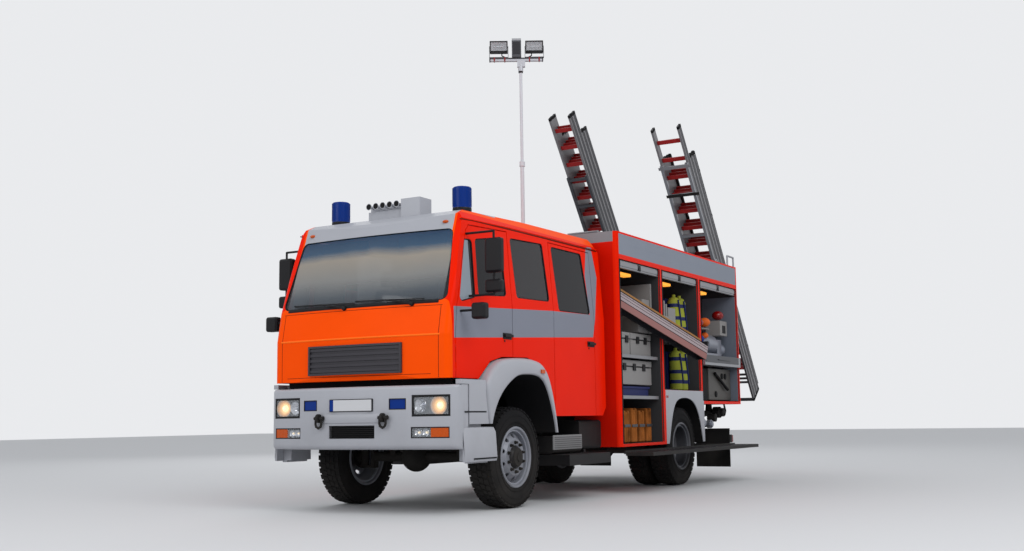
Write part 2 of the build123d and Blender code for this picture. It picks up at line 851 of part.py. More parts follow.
with BuildPart() as mirrors:
    for x, y, z in mirror_heads:
        add(mirror_head(x, y, z))
    rod((795, 1345, 2150), (795, 1345, 2806), mirror_tube)
    rod((850, 1000, 2790), (795, 1345, 2800), mirror_tube)
    rod((880, 1050, 2150), (795, 1345, 2162), mirror_tube)
    rod((1040, 1050, 1990), (1040, 1300, 1990), mirror_tube)
save_pair(mirrors.part - cab_form(-seat_gap), "mirrors")

# Horn bar and its white box on the cab roof
roof_seat_z = 3030
# Trumpets as centre y and length; bell radius, throat radius
horns = ((-205, 240), (-115, 290), (-25, 240), (65, 290), (155, 240))
horn_mouth_x = 800
horn_z = 3200
horn_bell, horn_throat = 36, 14


def trumpet(y, length):
    """Flared horn that opens forwards."""
    tail_x = horn_mouth_x - length
    with BuildPart() as horn:
        with BuildSketch(side(y)) as profile:
            with BuildLine():
                outline = Polyline((horn_mouth_x, horn_z), (tail_x, horn_z), (tail_x, horn_z + horn_throat))
                Line(outline @ 1, (horn_mouth_x - 40, horn_z + horn_throat + 4))
                Line((horn_mouth_x - 40, horn_z + horn_throat + 4), (horn_mouth_x, horn_z + horn_bell))
                Line((horn_mouth_x, horn_z + horn_bell), (horn_mouth_x, horn_z))
            make_face()
        revolve(profile.sketch, axis=Axis((front_axle_x, y, horn_z), (1, 0, 0)))
    return horn.part


with BuildPart() as horn_bar:
    block((560, 780), (200, 440), (roof_seat_z, 3250))
    block((600, 740), (-250, 199), (roof_seat_z, 3150))
    block((650, 700), (-250, 201), (3148, 3192))
    for y, length in horns:
        add(trumpet(y, length))
    for y in (beacon_y, -beacon_y):
        rod((beacon_x, y, roof_seat_z), (beacon_x, y, beacon_z[0] + 30 - seat_gap), beacon_radius - 10)
save(horn_bar.part - cab_form(-seat_gap), "horn_bar")

# Locker body: side lockers round a centre compartment that is open at the back
body_outline = (
    (body_front_x, front_locker_bottom_z),
    (body_front_x, body_top_z),
    (body_rear_x, body_top_z),
    (body_rear_x, rear_locker_bottom_z),
    (wheel_bay_rear_x, rear_locker_bottom_z),
    (wheel_bay_rear_x, mid_locker_bottom_z),
    (wheel_bay_front_x, mid_locker_bottom_z),
    (wheel_bay_front_x, front_locker_bottom_z),
)
# Lockers as front x, rear x, floor z
front_locker = (body_front_x - 76, wheel_bay_front_x + 110, 600)
middle_locker = (wheel_bay_front_x, wheel_bay_rear_x + 120, 1280)
rear_locker = (wheel_bay_rear_x, body_rear_x + 60, 1140)
lockers = (front_locker, middle_locker, rear_locker)
with BuildPart() as body_shell:
    prism(side(body_half_width), body_outline, 2 * body_half_width)
    front_edges = body_shell.edges().filter_by(Axis.Z).group_by(Axis.X)[-1]
    fillet(front_edges, radius=60)
    for front, rear, floor in lockers:
        for sign in (-1, 1):
            mouth = (sign * (body_half_width + 10), sign * (locker_back_y + 200))
            hold = (sign * (body_half_width - banner_wall), sign * locker_back_y)
            block((rear, front), (min(mouth), max(mouth)), (floor, opening_top_z), mode=Mode.SUBTRACT)
            block((rear, front), (min(hold), max(hold)), (floor, body_roof_z - body_wall), mode=Mode.SUBTRACT)
    inner_y = locker_back_y - body_wall
    block(
        (body_rear_x - 10, body_front_x - body_wall),
        (-inner_y, inner_y),
        (body_floor_z + body_wall, body_roof_z - body_wall),
        mode=Mode.SUBTRACT,
    )
    block((body_rear_x - 10, body_front_x + 10), (-inner_y, inner_y), (400, body_floor_z), mode=Mode.SUBTRACT)
    block(
        (body_rear_x + 60, body_front_x - 60),
        (-body_half_width + 60, body_half_width - 60),
        (body_roof_z, body_top_z + 10),
        mode=Mode.SUBTRACT,
    )
    rod(
        (mast_x, mast_y, body_roof_z - 100),
        (mast_x, mast_y, body_top_z),
        mast_base_radius + tube_clearance,
        mode=Mode.SUBTRACT,
    )
    # Seams between the three locker modules and the roof
    for x in (wheel_bay_front_x + 55, wheel_bay_rear_x + 60):
        block((x, x + seat_gap), (-1500, 1500), (0, body_top_z + 10), mode=Mode.SUBTRACT)
    seam_z = (body_roof_z - body_wall, body_roof_z - body_wall + seat_gap)
    block((body_rear_x - 10, body_front_x + 10), (-1500, 1500), seam_z, mode=Mode.SUBTRACT)
save(body_shell.part, "body_shell")


def tray_plane(offset_y):
    """Plane of the tray's side: local x runs down its length, local y up from its floor."""
    yaw, pitch = radians(tray_yaw), radians(tray_pitch)
    along = Vector(-cos(yaw) * cos(pitch), sin(yaw) * cos(pitch), -sin(pitch))
    outward = Vector(sin(yaw), cos(yaw), 0)
    origin = Vector(front_axle_x + tray_pivot_x, tray_pivot_y, tray_pivot_z) + outward * offset_y
    return Plane(origin=origin, x_dir=along, z_dir=outward)


def tray_board(along, out, up):
    """Board in the tray's own directions."""
    with BuildSketch(tray_plane(out[0])) as board:
        with Locations(((along[0] + along[1]) / 2, (up[0] + up[1]) / 2)):
            Rectangle(along[1] - along[0], up[1] - up[0])
    extrude(board.sketch, amount=out[1] - out[0])


# Shelves and drawers inside the lockers, and the ears that carry the side tray
# Shelves as locker and height; drawer fronts stand out past the side
shelves = ((front_locker, 1165), (front_locker, 1680), (middle_locker, 1960))
with BuildPart() as body_shelves:
    for sign in (-1, 1):
        depth = sorted((sign * (locker_back_y + seat_gap), sign * (body_half_width - 60)))
        for (front, rear, floor), z in shelves:
            block((rear + 1, front - 1), depth, (z, z + 25))
        drawer_depth = sorted((sign * (locker_back_y + seat_gap), sign * (body_half_width + 40)))
        block((rear_locker[1] + 1, rear_locker[0] - 1), drawer_depth, (1660, 1800))
    ear_y = (tray_pivot_y - 70, tray_pivot_y + 70)
    block((tray_pivot_x + 65, front_locker[0] - seat_gap), ear_y, (2370, 2470))
    for out, start in ((-41, -86), (31, -64)):
        tray_board((start, 15), (out, out + 10), (-18, 18))
    with BuildSketch(tray_plane(-31)) as tray_pin:
        Circle(9)
    extrude(tray_pin.sketch, amount=62)
save(body_shelves.part, "body_shelves")

# Stowed equipment: hoses, cases, breathing sets and the pump panel
front_length = front_locker[0] - front_locker[1]
with BuildPart() as equipment:
    for sign in (-1, 1):
        inner = sign * (locker_back_y + 60)
        outer = sign * (body_half_width - 130)
        for share in (0.16, 0.36, 0.56):
            x = front_locker[0] - share * front_length
            block((x - 80, x + 80), sorted((inner, outer)), (600 + seat_gap, 1040))
        block((front_locker[1] + 100, front_locker[0] - 80), sorted((inner, outer)), (1190 + seat_gap, 1330))
        for share in (0.27, 0.67):
            x = front_locker[0] - share * front_length
            block((x - 210, x + 210), sorted((inner, outer)), (1330 + 2 * seat_gap, 1630))
            block((x - 210, x + 210), sorted((inner, outer)), (1705 + seat_gap, 1960))
        for x in (middle_locker[0] - 510, middle_locker[0] - 930):
            rod((x, sign * 980, 1280 + seat_gap), (x, sign * 980, 1800), 90)
            rod((x, sign * 980, 1985 + seat_gap), (x, sign * 980, 2560), 90)
        outer = sign * (body_half_width - 70)
        block((rear_locker[1] + 100, rear_locker[0] - 220), sorted((inner, outer)), (1140 + seat_gap, 1640))
        outer = sign * (body_half_width - 100)
        block((rear_locker[1] + 600, rear_locker[0] - 320), sorted((inner, outer)), (1800 + seat_gap, 2250))
save(equipment.part, "equipment")

# Roller shutters: rolled-up curtains with their bottom rails, and the closed rear one
shutter_roll_radius = 85
shutter_rail_y = (body_half_width - 55, body_half_width - 15)
shutter_curtain_y = (shutter_rail_y[0] - 15, shutter_rail_y[0] - seat_gap)
with BuildPart() as roller_shutters:
    for front, rear, floor in lockers:
        for sign in (-1, 1):
            span = (rear + seat_gap, front - seat_gap)
            roll_y = sign * (shutter_curtain_y[0] - seat_gap - shutter_roll_radius)
            roll_z = opening_top_z + 100
            rod((span[0], roll_y, roll_z), (span[1], roll_y, roll_z), shutter_roll_radius)
            rail = sorted(sign * y for y in shutter_rail_y)
            block(span, rail, (opening_top_z - 105, opening_top_z - 15))
            curtain = sorted(sign * y for y in shutter_curtain_y)
            block(span, curtain, (opening_top_z - 85, opening_top_z + 105))
    block(
        (body_rear_x + 20, body_rear_x + 50),
        (-inner_y + seat_gap, inner_y - seat_gap),
        (body_floor_z + body_wall + seat_gap, body_roof_z - body_wall - seat_gap),
    )
save(roller_shutters.part, "roller_shutters")

# White rear wheel-arch panels
rear_arch_outline = (
    (wheel_bay_front_x - seat_gap, 570),
    (wheel_bay_front_x - seat_gap, mid_locker_bottom_z - seat_gap),
    (wheel_bay_rear_x, mid_locker_bottom_z - seat_gap),
    (wheel_bay_rear_x, 570),
    (rear_axle_x - 755, 570),
    (rear_axle_x - 630, 970),
    (rear_axle_x - 360, 1185),
    (rear_axle_x + 175, 1185),
    (rear_axle_x + 360, 1010),
    (rear_axle_x + 510, 570),
)
with BuildPart() as rear_arches:
    prism(side(body_half_width), rear_arch_outline, 12)
    mirror(about=Plane.XZ)
save(rear_arches.part, "rear_arches")

with BuildPart() as tail_lamps:
    for y in (-1150, 970):
        lamp_front_x = rail_rear_x - 80 - seat_gap
        block((lamp_front_x - 40, lamp_front_x), (y, y + 180), (underrun_z[0] + 10, underrun_z[1] - 10))
save(tail_lamps.part, "tail_lamps")

# Pump outlets under the rear lockers as x and z
pump_outlets = ((rear_axle_x - 1090, 830), (rear_axle_x - 1390, 810))
with BuildPart() as pump_couplings:
    for x, z in pump_outlets:
        rod((x, rail_y + rail_width + seat_gap, z), (x, 1080, z), 48)
        rod((x, 1080, z), (x, 1130, z), 62)
    mirror(about=Plane.XZ)
save(pump_couplings.part, "pump_couplings")

flap_x = rear_axle_x - 1840
with BuildPart() as mud_flaps:
    for sign in (-1, 1):
        flap_y = sorted((sign * (body_half_width - 530), sign * body_half_width))
        block((flap_x - 10, flap_x + 10), flap_y, (170, 700 - seat_gap))
        block((flap_x - 20, flap_x + 20), flap_y, (700, 740))
        bracket_y = sorted((sign * (rail_y + rail_width + seat_gap), sign * 740))
        block((flap_x - 20, flap_x + 20), bracket_y, (740 + seat_gap, 830))
save(mud_flaps.part, "mud_flaps")

# Fold-down side steps
with BuildPart() as step_board:
    block(
        (step_rear_x, step_front_x),
        (step_hinge_y - 15 + seat_gap, step_hinge_y + step_width),
        (step_hinge_z - step_thickness, step_hinge_z),
    )
save_pair(step_board.part, "step_board")


def rack_plane(y):
    """Upright plane at Y = y through the rack hinge: local x runs up the ladders, y out of the stack."""
    tilt = radians(rack_tilt)
    origin = (front_axle_x + rack_hinge_x, y, rack_hinge_z)
    return Plane(origin=origin, x_dir=(cos(tilt), 0, sin(tilt)), z_dir=(0, -1, 0))


def tilted_block(along, width, out, mode=Mode.ADD):
    """Box in the rack's own directions: along the ladders, across in Y, and out of the stack."""
    middle = ((along[0] + along[1]) / 2, (out[0] + out[1]) / 2)
    with BuildSketch(rack_plane(width[1])) as outline:
        with Locations(middle):
            Rectangle(along[1] - along[0], out[1] - out[0])
    extrude(outline.sketch, amount=width[1] - width[0], mode=mode)


# Packs as centre y, width, the sections' upper ends, and whether support poles lie on top
packs = {
    "left": (700, 450, (2340, 1800, 1770), True),
    "right": (-950, 370, (2780, 2770, 2420, 2400), False),
}
hinge_post = 14
first_rung = 240
for name, (centre, width, tops, poles) in packs.items():
    low, high = centre - width / 2, centre + width / 2
    with BuildPart() as rack:
        for y in (low, high - 2 * rack_tube):
            tilted_block((-rack_below, rack_above), (y, y + 2 * rack_tube), (-rack_tube, rack_tube))
        for along in (-rack_below + 60, 500, 1220, 1700):
            tilted_block((along - 20, along + 20), (low, high), (-rack_tube, rack_tube))
        rod(
            (rack_hinge_x, low - 40, rack_hinge_z),
            (rack_hinge_x, high + 40, rack_hinge_z),
            rack_tube - 4,
        )
    save(rack.part, f"ladder_rack_{name}")
    with BuildPart() as ladders:
        for number, top in enumerate(tops):
            out_low = rack_tube + seat_gap + number * (ladder_section_depth + seat_gap)
            out = (out_low, out_low + ladder_section_depth)
            for rail in ((high - ladder_rail_width, high), (low, low + ladder_rail_width)):
                tilted_block((-ladder_below, top), rail, out)
            middle = (out[0] + out[1]) / 2
            rung_y = (low + ladder_rail_width + seat_gap, high - ladder_rail_width - seat_gap)
            along = tops[0] - first_rung
            while along > 120 - ladder_below:
                if along < top - 60:
                    tilted_block(
                        (along - rung_size / 2, along + rung_size / 2),
                        rung_y,
                        (middle - rung_size / 2, middle + rung_size / 2),
                    )
                along -= rung_spacing
        if poles:
            section_tops = rack_tube + len(tops) * (ladder_section_depth + seat_gap)
            pole_out = section_tops + seat_gap + support_pole_radius
            for y in (low + support_pole_radius, high - support_pole_radius):
                plane = rack_plane(y)
                foot = plane.from_local_coords(Vector(-ladder_below + 100, pole_out, 0))
                head = plane.from_local_coords(Vector(tops[1] - 60, pole_out, 0))
                with BuildSketch(Plane(origin=foot, z_dir=head - foot)) as pole:
                    Circle(support_pole_radius)
                extrude(pole.sketch, amount=(head - foot).length)
    save(ladders.part, f"ladders_{name}")

# Roof fittings: hinge brackets of the racks and a grab hoop
hoop_x = (body_rear_x + 40, body_rear_x + 310)
hoop_y = body_half_width - 25
hoop_top_z = body_top_z + 150
hoop_radius = 14
with BuildPart() as roof_fittings:
    for centre, width, tops, poles in packs.values():
        for y in (centre - width / 2 - 30, centre + width / 2 + 30 - hinge_post):
            prism(
                side(y + hinge_post),
                (
                    (rack_hinge_x - 12, body_top_z + seat_gap),
                    (rack_hinge_x + 42, body_top_z + seat_gap),
                    (rack_hinge_x + 30, rack_hinge_z + 30),
                    (rack_hinge_x - 12, rack_hinge_z + 30),
                ),
                hinge_post,
            )
            rod(
                (rack_hinge_x, y - 5, rack_hinge_z),
                (rack_hinge_x, y + hinge_post + 5, rack_hinge_z),
                rack_tube - 3.5,
                mode=Mode.SUBTRACT,
            )
    # Grab hoop over the left rear locker
    for x in hoop_x:
        rod((x, hoop_y, body_top_z + seat_gap), (x, hoop_y, hoop_top_z), hoop_radius)
    rod((hoop_x[0], hoop_y, hoop_top_z), (hoop_x[1], hoop_y, hoop_top_z), hoop_radius)
    for x in hoop_x:
        with Locations((front_axle_x + x, hoop_y, hoop_top_z)):
            Sphere(hoop_radius)
save(roof_fittings.part, "roof_fittings")


def tube(bottom, top, radius, wall):
    """Upright mast tube."""
    rod((mast_x, mast_y, bottom), (mast_x, mast_y, top), radius)
    rod((mast_x, mast_y, bottom - 1), (mast_x, mast_y, top + 1), radius - wall, mode=Mode.SUBTRACT)


# Mast head: floodlights as places along the bar, with their half width, half height and half depth
floodlight_bar = (-290, 185)
floodlight_half = (120, 75, 55)
head_box_bar = (-115, 10)
bar_bottom_z = stage_2_top_z + 140
bar_top_z = bar_bottom_z + 45
floodlight_z = bar_top_z + 150


def head_block(x, bar, z):
    """Box on the mast head: x forwards of the bar, then along the bar, then height."""
    yaw = radians(mast_head_yaw)
    origin = (front_axle_x + mast_x, mast_y, z[0])
    with BuildSketch(Plane(origin=origin, x_dir=(cos(yaw), sin(yaw), 0), z_dir=(0, 0, 1))) as outline:
        with Locations(((x[0] + x[1]) / 2, (bar[0] + bar[1]) / 2)):
            Rectangle(x[1] - x[0], bar[1] - bar[0])
    extrude(outline.sketch, amount=z[1] - z[0])


def head_point(x, bar, z):
    """Point on the mast head, its x from the front axle."""
    yaw = radians(mast_head_yaw)
    return (mast_x + x * cos(yaw) - bar * sin(yaw), mast_y + x * sin(yaw) + bar * cos(yaw), z)


with BuildPart() as mast_base:
    base_wall = mast_base_radius - stage_1_radius - tube_clearance
    tube(mast_base_bottom_z, mast_base_top_z, mast_base_radius, base_wall)
    with BuildSketch(level(body_floor_z + body_wall + seat_gap)) as foot:
        with Locations((mast_x, mast_y)):
            Rectangle(140, 140)
    extrude(foot.sketch, amount=mast_base_bottom_z - body_floor_z - body_wall - seat_gap + 5)
save(mast_base.part, "mast_base")
with BuildPart() as mast_stage_1:
    stage_1_wall = stage_1_radius - stage_2_radius - tube_clearance
    tube(stage_1_bottom_z, stage_1_top_z, stage_1_radius, stage_1_wall)
    with BuildSketch(level(stage_1_top_z - 60)) as collar:
        with Locations((mast_x, mast_y)):
            Circle(stage_1_radius + 12)
            Circle(stage_1_radius - 1, mode=Mode.SUBTRACT)
    extrude(collar.sketch, amount=60)
save(mast_stage_1.part, "mast_stage_1")
with BuildPart() as mast_stage_2:
    tube(stage_2_bottom_z, stage_2_top_z, stage_2_radius, tube_wall)
save(mast_stage_2.part, "mast_stage_2")
with BuildPart() as mast_head:
    rod((mast_x, mast_y, stage_2_top_z + seat_gap), (mast_x, mast_y, stage_2_top_z + 90), 34)
    head_block((-30, 30), (-45, 60), (stage_2_top_z + 60, bar_bottom_z + 5))
    head_block((-25, 25), (-415, 300), (bar_bottom_z, bar_top_z))
    half_width, half_height, half_depth = floodlight_half
    ear = half_width + 2
    for middle in floodlight_bar:
        head_block((-15, 15), (middle - ear - 6, middle + ear + 6), (bar_top_z - 1, bar_top_z + 14))
        for low in (middle - ear - 6, middle + ear):
            head_block((-15, 15), (low, low + 6), (bar_top_z, floodlight_z + 15))
    head_block((-45, 45), head_box_bar, (bar_top_z - 1, bar_top_z + 260))
save(mast_head.part, "mast_head")
with BuildPart() as floodlights:
    for middle in floodlight_bar:
        head_block(
            (-half_depth, half_depth),
            (middle - half_width, middle + half_width),
            (floodlight_z - half_height, floodlight_z + half_height),
        )
        pin = half_width + 2 - seat_gap
        rod(head_point(0, middle - pin, floodlight_z), head_point(0, middle + pin, floodlight_z), 8)
save(floodlights.part, "floodlights")


half_tray = tray_width / 2
with BuildPart() as side_tray:
    tray_board((tray_start, tray_length), (-half_tray, half_tray), (0, tray_wall))
    tray_board((tray_start, tray_length), (half_tray - tray_wall, half_tray), (tray_wall, tray_side_height))
    tray_board((tray_start, tray_length), (-half_tray, -half_tray + tray_wall), (tray_wall, 60))
    tray_board((-16, tray_start + 40), (-30, 30), (-16, 16))
    with BuildSketch(tray_plane(-31)) as tray_bore:
        Circle(9.5)
    extrude(tray_bore.sketch, amount=62, mode=Mode.SUBTRACT)
save(side_tray.part, "side_tray")
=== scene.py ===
"""Looks of a crew-cab fire engine: paint, glass, lamps, treads, gear and trim round its fixed CAD frame.

Metres. +X is forward, +Y is the vehicle's left, +Z is up. Lengths along the vehicle are measured from
the front axle, and Shape adds the axle's own place, so a size here reads as it does on the vehicle.
"""

import math

import bmesh
import bpy
from mathutils import Matrix, Vector


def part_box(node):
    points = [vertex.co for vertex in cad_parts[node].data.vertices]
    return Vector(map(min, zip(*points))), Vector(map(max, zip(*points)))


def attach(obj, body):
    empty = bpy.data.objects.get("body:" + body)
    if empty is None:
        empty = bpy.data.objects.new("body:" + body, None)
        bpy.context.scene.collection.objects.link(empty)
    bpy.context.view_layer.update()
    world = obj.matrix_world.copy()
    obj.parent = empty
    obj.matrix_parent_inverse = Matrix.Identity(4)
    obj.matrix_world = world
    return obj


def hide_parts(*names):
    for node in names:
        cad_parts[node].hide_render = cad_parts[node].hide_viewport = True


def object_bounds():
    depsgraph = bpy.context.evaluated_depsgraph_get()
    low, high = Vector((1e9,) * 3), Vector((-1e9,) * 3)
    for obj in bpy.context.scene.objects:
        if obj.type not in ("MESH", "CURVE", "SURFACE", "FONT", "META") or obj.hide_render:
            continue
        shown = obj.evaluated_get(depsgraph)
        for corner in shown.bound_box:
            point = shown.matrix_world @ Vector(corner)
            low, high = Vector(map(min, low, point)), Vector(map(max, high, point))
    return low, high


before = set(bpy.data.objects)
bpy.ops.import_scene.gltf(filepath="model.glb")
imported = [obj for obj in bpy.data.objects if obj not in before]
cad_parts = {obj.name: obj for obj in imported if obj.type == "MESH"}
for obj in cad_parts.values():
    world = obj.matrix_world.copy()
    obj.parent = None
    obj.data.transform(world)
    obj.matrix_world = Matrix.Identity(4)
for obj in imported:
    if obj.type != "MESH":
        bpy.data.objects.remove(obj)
cad_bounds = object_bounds()

tyre_low, tyre_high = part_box("front_tyre_left")
axle_x = (tyre_low.x + tyre_high.x) / 2
tyre_radius = (tyre_high.z - tyre_low.z) / 2
front_tyre_y = (tyre_low.y + tyre_high.y) / 2
rear_low, rear_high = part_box("rear_tyres_left")
rear_axle = (rear_low.x + rear_high.x) / 2 - axle_x

sides = (("left", 1), ("right", -1))
both = (-1, 1)
full_turn = 2 * math.pi
forwards, outwards, upwards = (1, 0, 0), (0, 1, 0), (0, 0, 1)


def clear_scene():
    """Removes what a new file holds and keeps the frame."""
    for name in ("Cube", "Light", "Camera"):
        if name in bpy.data.objects:
            bpy.data.objects.remove(bpy.data.objects[name])


def linked(name, data):
    """Object of some data, in the scene."""
    obj = bpy.data.objects.new(name, data)
    bpy.context.scene.collection.objects.link(obj)
    return obj


# Meshes


def spokes(line, count, start=0.0):
    """Unit vectors square to a line, evenly spaced round it from an angle."""
    first = line.orthogonal().normalized()
    second = line.cross(first)
    angles = [full_turn * i / count + start for i in range(count)]
    return [first * math.cos(angle) + second * math.sin(angle) for angle in angles]


class Shape:
    """Closed solids gathered in one mesh: x from the front axle, y turned over where the side is -1."""

    def __init__(self, side=1):
        self.mesh = bmesh.new()
        self.side = side

    def on(self, side):
        """Sets the side for the solids that follow."""
        self.side = side
        return self

    def place(self, point):
        """Point or direction on the shape's side."""
        return Vector((point[0], self.side * point[1], point[2]))

    def skin(self, rings, closed=False):
        """Joins loops of equally many points; the first and last are capped, or joined to each other."""
        loops = [[self.mesh.verts.new((x + axle_x, y, z)) for x, y, z in ring] for ring in rings]
        pairs = list(zip(loops, loops[1:]))
        if closed:
            pairs.append((loops[-1], loops[0]))
        for first, second in pairs:
            for i in range(len(first)):
                j = (i + 1) % len(first)
                self.mesh.faces.new((first[i], first[j], second[j], second[i]))
        if not closed:
            self.mesh.faces.new(loops[0])
            self.mesh.faces.new(loops[-1])
        return self

    def box(self, x, y, z, point=None):
        """Box between (low, high) pairs; point gives places in a frame other than the vehicle's."""
        y = sorted(self.side * level for level in y)
        corners = ((y[0], z[0]), (y[1], z[0]), (y[1], z[1]), (y[0], z[1]))
        rings = [[(level, *corner) for corner in corners] for level in x]
        if point:
            rings = [[point(*corner) for corner in ring] for ring in rings]
        return self.skin(rings)

    def boxes(self, *sizes, point=None):
        """Boxes, each as its pairs in x, y and z."""
        for size in sizes:
            self.box(*size, point)
        return self

    def plate(self, outline, y):
        """Upright plate along the vehicle: (x, z) outline between two Y values."""
        return self.skin([[(x, self.side * level, z) for x, z in outline] for level in y])

    def lathe(self, centre, axis, profile, sides=32, closed=False):
        """Turned piece: (distance along the axis, radius) pairs round a line through centre."""
        centre, line = self.place(centre), self.place(axis).normalized()
        spread = spokes(line, sides)
        rings = []
        for along, radius in profile:
            rings.append([centre + line * along + spoke * max(radius, 1e-4) for spoke in spread])
        return self.skin(rings, closed)

    def rod(self, start, end, radius, sides=16):
        """Round bar between two points."""
        line = Vector(end) - Vector(start)
        return self.lathe(start, line, ((0, radius), (line.length, radius)), sides)

    def tube(self, points, radius, sides=10):
        """Round bar bent along a route."""
        route = [self.place(point) for point in points]
        rings = []
        spoke = None
        for i, point in enumerate(route):
            before = (point - route[i - 1]).normalized() if i else None
            after = (route[i + 1] - point).normalized() if i + 1 < len(route) else None
            line = (before + after).normalized() if before and after else (before or after)
            if spoke is None:
                spoke = line.orthogonal().normalized()
            spoke = (spoke - line * spoke.dot(line)).normalized()
            other = line.cross(spoke)
            reach = radius / max(line.dot(after or before), 0.5)
            angles = [full_turn * k / sides for k in range(sides)]
            rings.append([point + (spoke * math.cos(a) + other * math.sin(a)) * reach for a in angles])
        return self.skin(rings)

    def ball(self, centre, radius, squash=1.0, sides=24):
        """Ball, flattened along Z by squash."""
        angles = [math.pi * i / 10 for i in range(11)]
        profile = [(-radius * squash * math.cos(angle), radius * math.sin(angle)) for angle in angles]
        return self.lathe(centre, upwards, profile, sides)

    def data(self, name):
        """Mesh of the solids, its faces turned outwards."""
        bmesh.ops.recalc_face_normals(self.mesh, faces=self.mesh.faces)
        data = bpy.data.meshes.new(name)
        self.mesh.to_mesh(data)
        self.mesh.free()
        return data

    def piece(self, name, finish, body="root", **looks):
        """Finishes the mesh as one object on a body."""
        return finished(name, self.data(name), finish, body, **looks)

    def repeated(
        self, name, finish, count, body="root", step=(0, 0, 0), turn=(0, 0, 0), pivot=(0, 0, 0), bevel=0.0
    ):
        """Repeats the solids along a line or round a pivot, as one object on a body."""
        centre = (pivot[0] + axle_x, pivot[1], pivot[2])
        values = {"Count": count, "Step": step, "Turn": turn, "Pivot": centre, "Material": paint(finish)}
        return finished(name, made_by(REPEAT, self.data(name), values), finish, body, bevel)


def paint(finish):
    """Material made here by its name; the frame has others of the same names."""
    return paints[finish]


def dressed(data, finish):
    """Gives a mesh one material."""
    data.materials.clear()
    data.materials.append(paint(finish))


def finished(name, data, finish, body="root", bevel=0.0, smooth=False, slot=None, angle=40):
    """Object of a mesh whose place is in its points, with rounded edges where asked."""
    data.name = name
    obj = linked(name, data)
    dressed(data, finish)
    if bevel:
        edge = obj.modifiers.new("edges", "BEVEL")
        edge.width = bevel
        edge.segments = 2
        edge.limit_method = "ANGLE"
        edge.angle_limit = math.radians(angle)
        edge.harden_normals = True
    if smooth or bevel:
        data.polygons.foreach_set("use_smooth", [True] * len(data.polygons))
        data.update()
        data.set_sharp_from_angle(angle=math.radians(angle))
    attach(obj, body)
    return obj


def evaluated(obj):
    """New mesh of an object with its modifiers applied."""
    bpy.context.view_layer.update()
    graph = bpy.context.evaluated_depsgraph_get()
    return bpy.data.meshes.new_from_object(obj.evaluated_get(graph), depsgraph=graph)


def made_by(tree, data, values):
    """Plain mesh that a Geometry Nodes tree makes of a mesh."""
    seed = linked("seed", data)
    maker = seed.modifiers.new("maker", "NODES")
    maker.node_group = tree
    for item in tree.interface.items_tree:
        if item.in_out == "INPUT" and item.name in values:
            maker[item.identifier] = values[item.name]
    seed.update_tag()
    made = evaluated(seed)
    bpy.data.objects.remove(seed)
    bpy.data.meshes.remove(data)
    return made


def carved(solid, cutter):
    """Mesh of one Shape with another cut out of it."""
    pair = [linked("carving", shape.data("carving")) for shape in (solid, cutter)]
    cut = pair[0].modifiers.new("cut", "BOOLEAN")
    cut.operation = "DIFFERENCE"
    cut.solver = "EXACT"
    cut.object = pair[1]
    made = evaluated(pair[0])
    for obj in pair:
        bpy.data.objects.remove(obj)
    return made


# Node trees


def added(tree, kind, inputs=(), **settings):
    """New node with its settings; inputs is a dictionary of values and of outputs to link."""
    node = tree.nodes.new(kind)
    for name, value in settings.items():
        setattr(node, name, value)
    for socket, value in dict(inputs).items():
        if isinstance(value, bpy.types.NodeSocket):
            tree.links.new(value, node.inputs[socket])
        else:
            node.inputs[socket].default_value = value
    return node


def calc(tree, operation, *values, **settings):
    """Output of a math node fed by outputs or numbers."""
    return added(tree, "ShaderNodeMath", enumerate(values), operation=operation, **settings).outputs[0]


def mixed(tree, mask, under, over):
    """Colour that goes from one to another with a mask."""
    inputs = {"Factor": mask, "A": under, "B": over}
    return added(tree, "ShaderNodeMix", inputs, data_type="RGBA").outputs["Result"]


def ramp(tree, level, stops):
    """Colour at a level between (position, screen colour) stops, the two ends first."""
    node = added(tree, "ShaderNodeValToRGB", {0: level})
    elements = node.color_ramp.elements
    for element, (position, shade) in zip(elements, stops[:2]):
        element.position = position
        element.color = linear(shade)
    for position, shade in stops[2:]:
        elements.new(position).color = linear(shade)
    return node.outputs["Color"]


def group(name, kind, given, made):
    """Node group, its inputs as (name, type, value) and outputs as (name, type); returns it and its ends."""
    tree = bpy.data.node_groups.new(name, kind)
    for way, sockets in (("INPUT", given), ("OUTPUT", made)):
        for label, socket, *value in sockets:
            end = tree.interface.new_socket(label, in_out=way, socket_type="NodeSocket" + socket)
            if value:
                end.default_value = value[0]
    return tree, tree.nodes.new("NodeGroupInput").outputs, tree.nodes.new("NodeGroupOutput").inputs


def ended(tree, geometry, given, result):
    """Ends a Geometry Nodes tree with real geometry in the given material."""
    real = added(tree, "GeometryNodeRealizeInstances", {0: geometry})
    painted = {"Geometry": real.outputs[0], "Material": given["Material"]}
    tree.links.new(added(tree, "GeometryNodeSetMaterial", painted).outputs[0], result[0])
    return tree


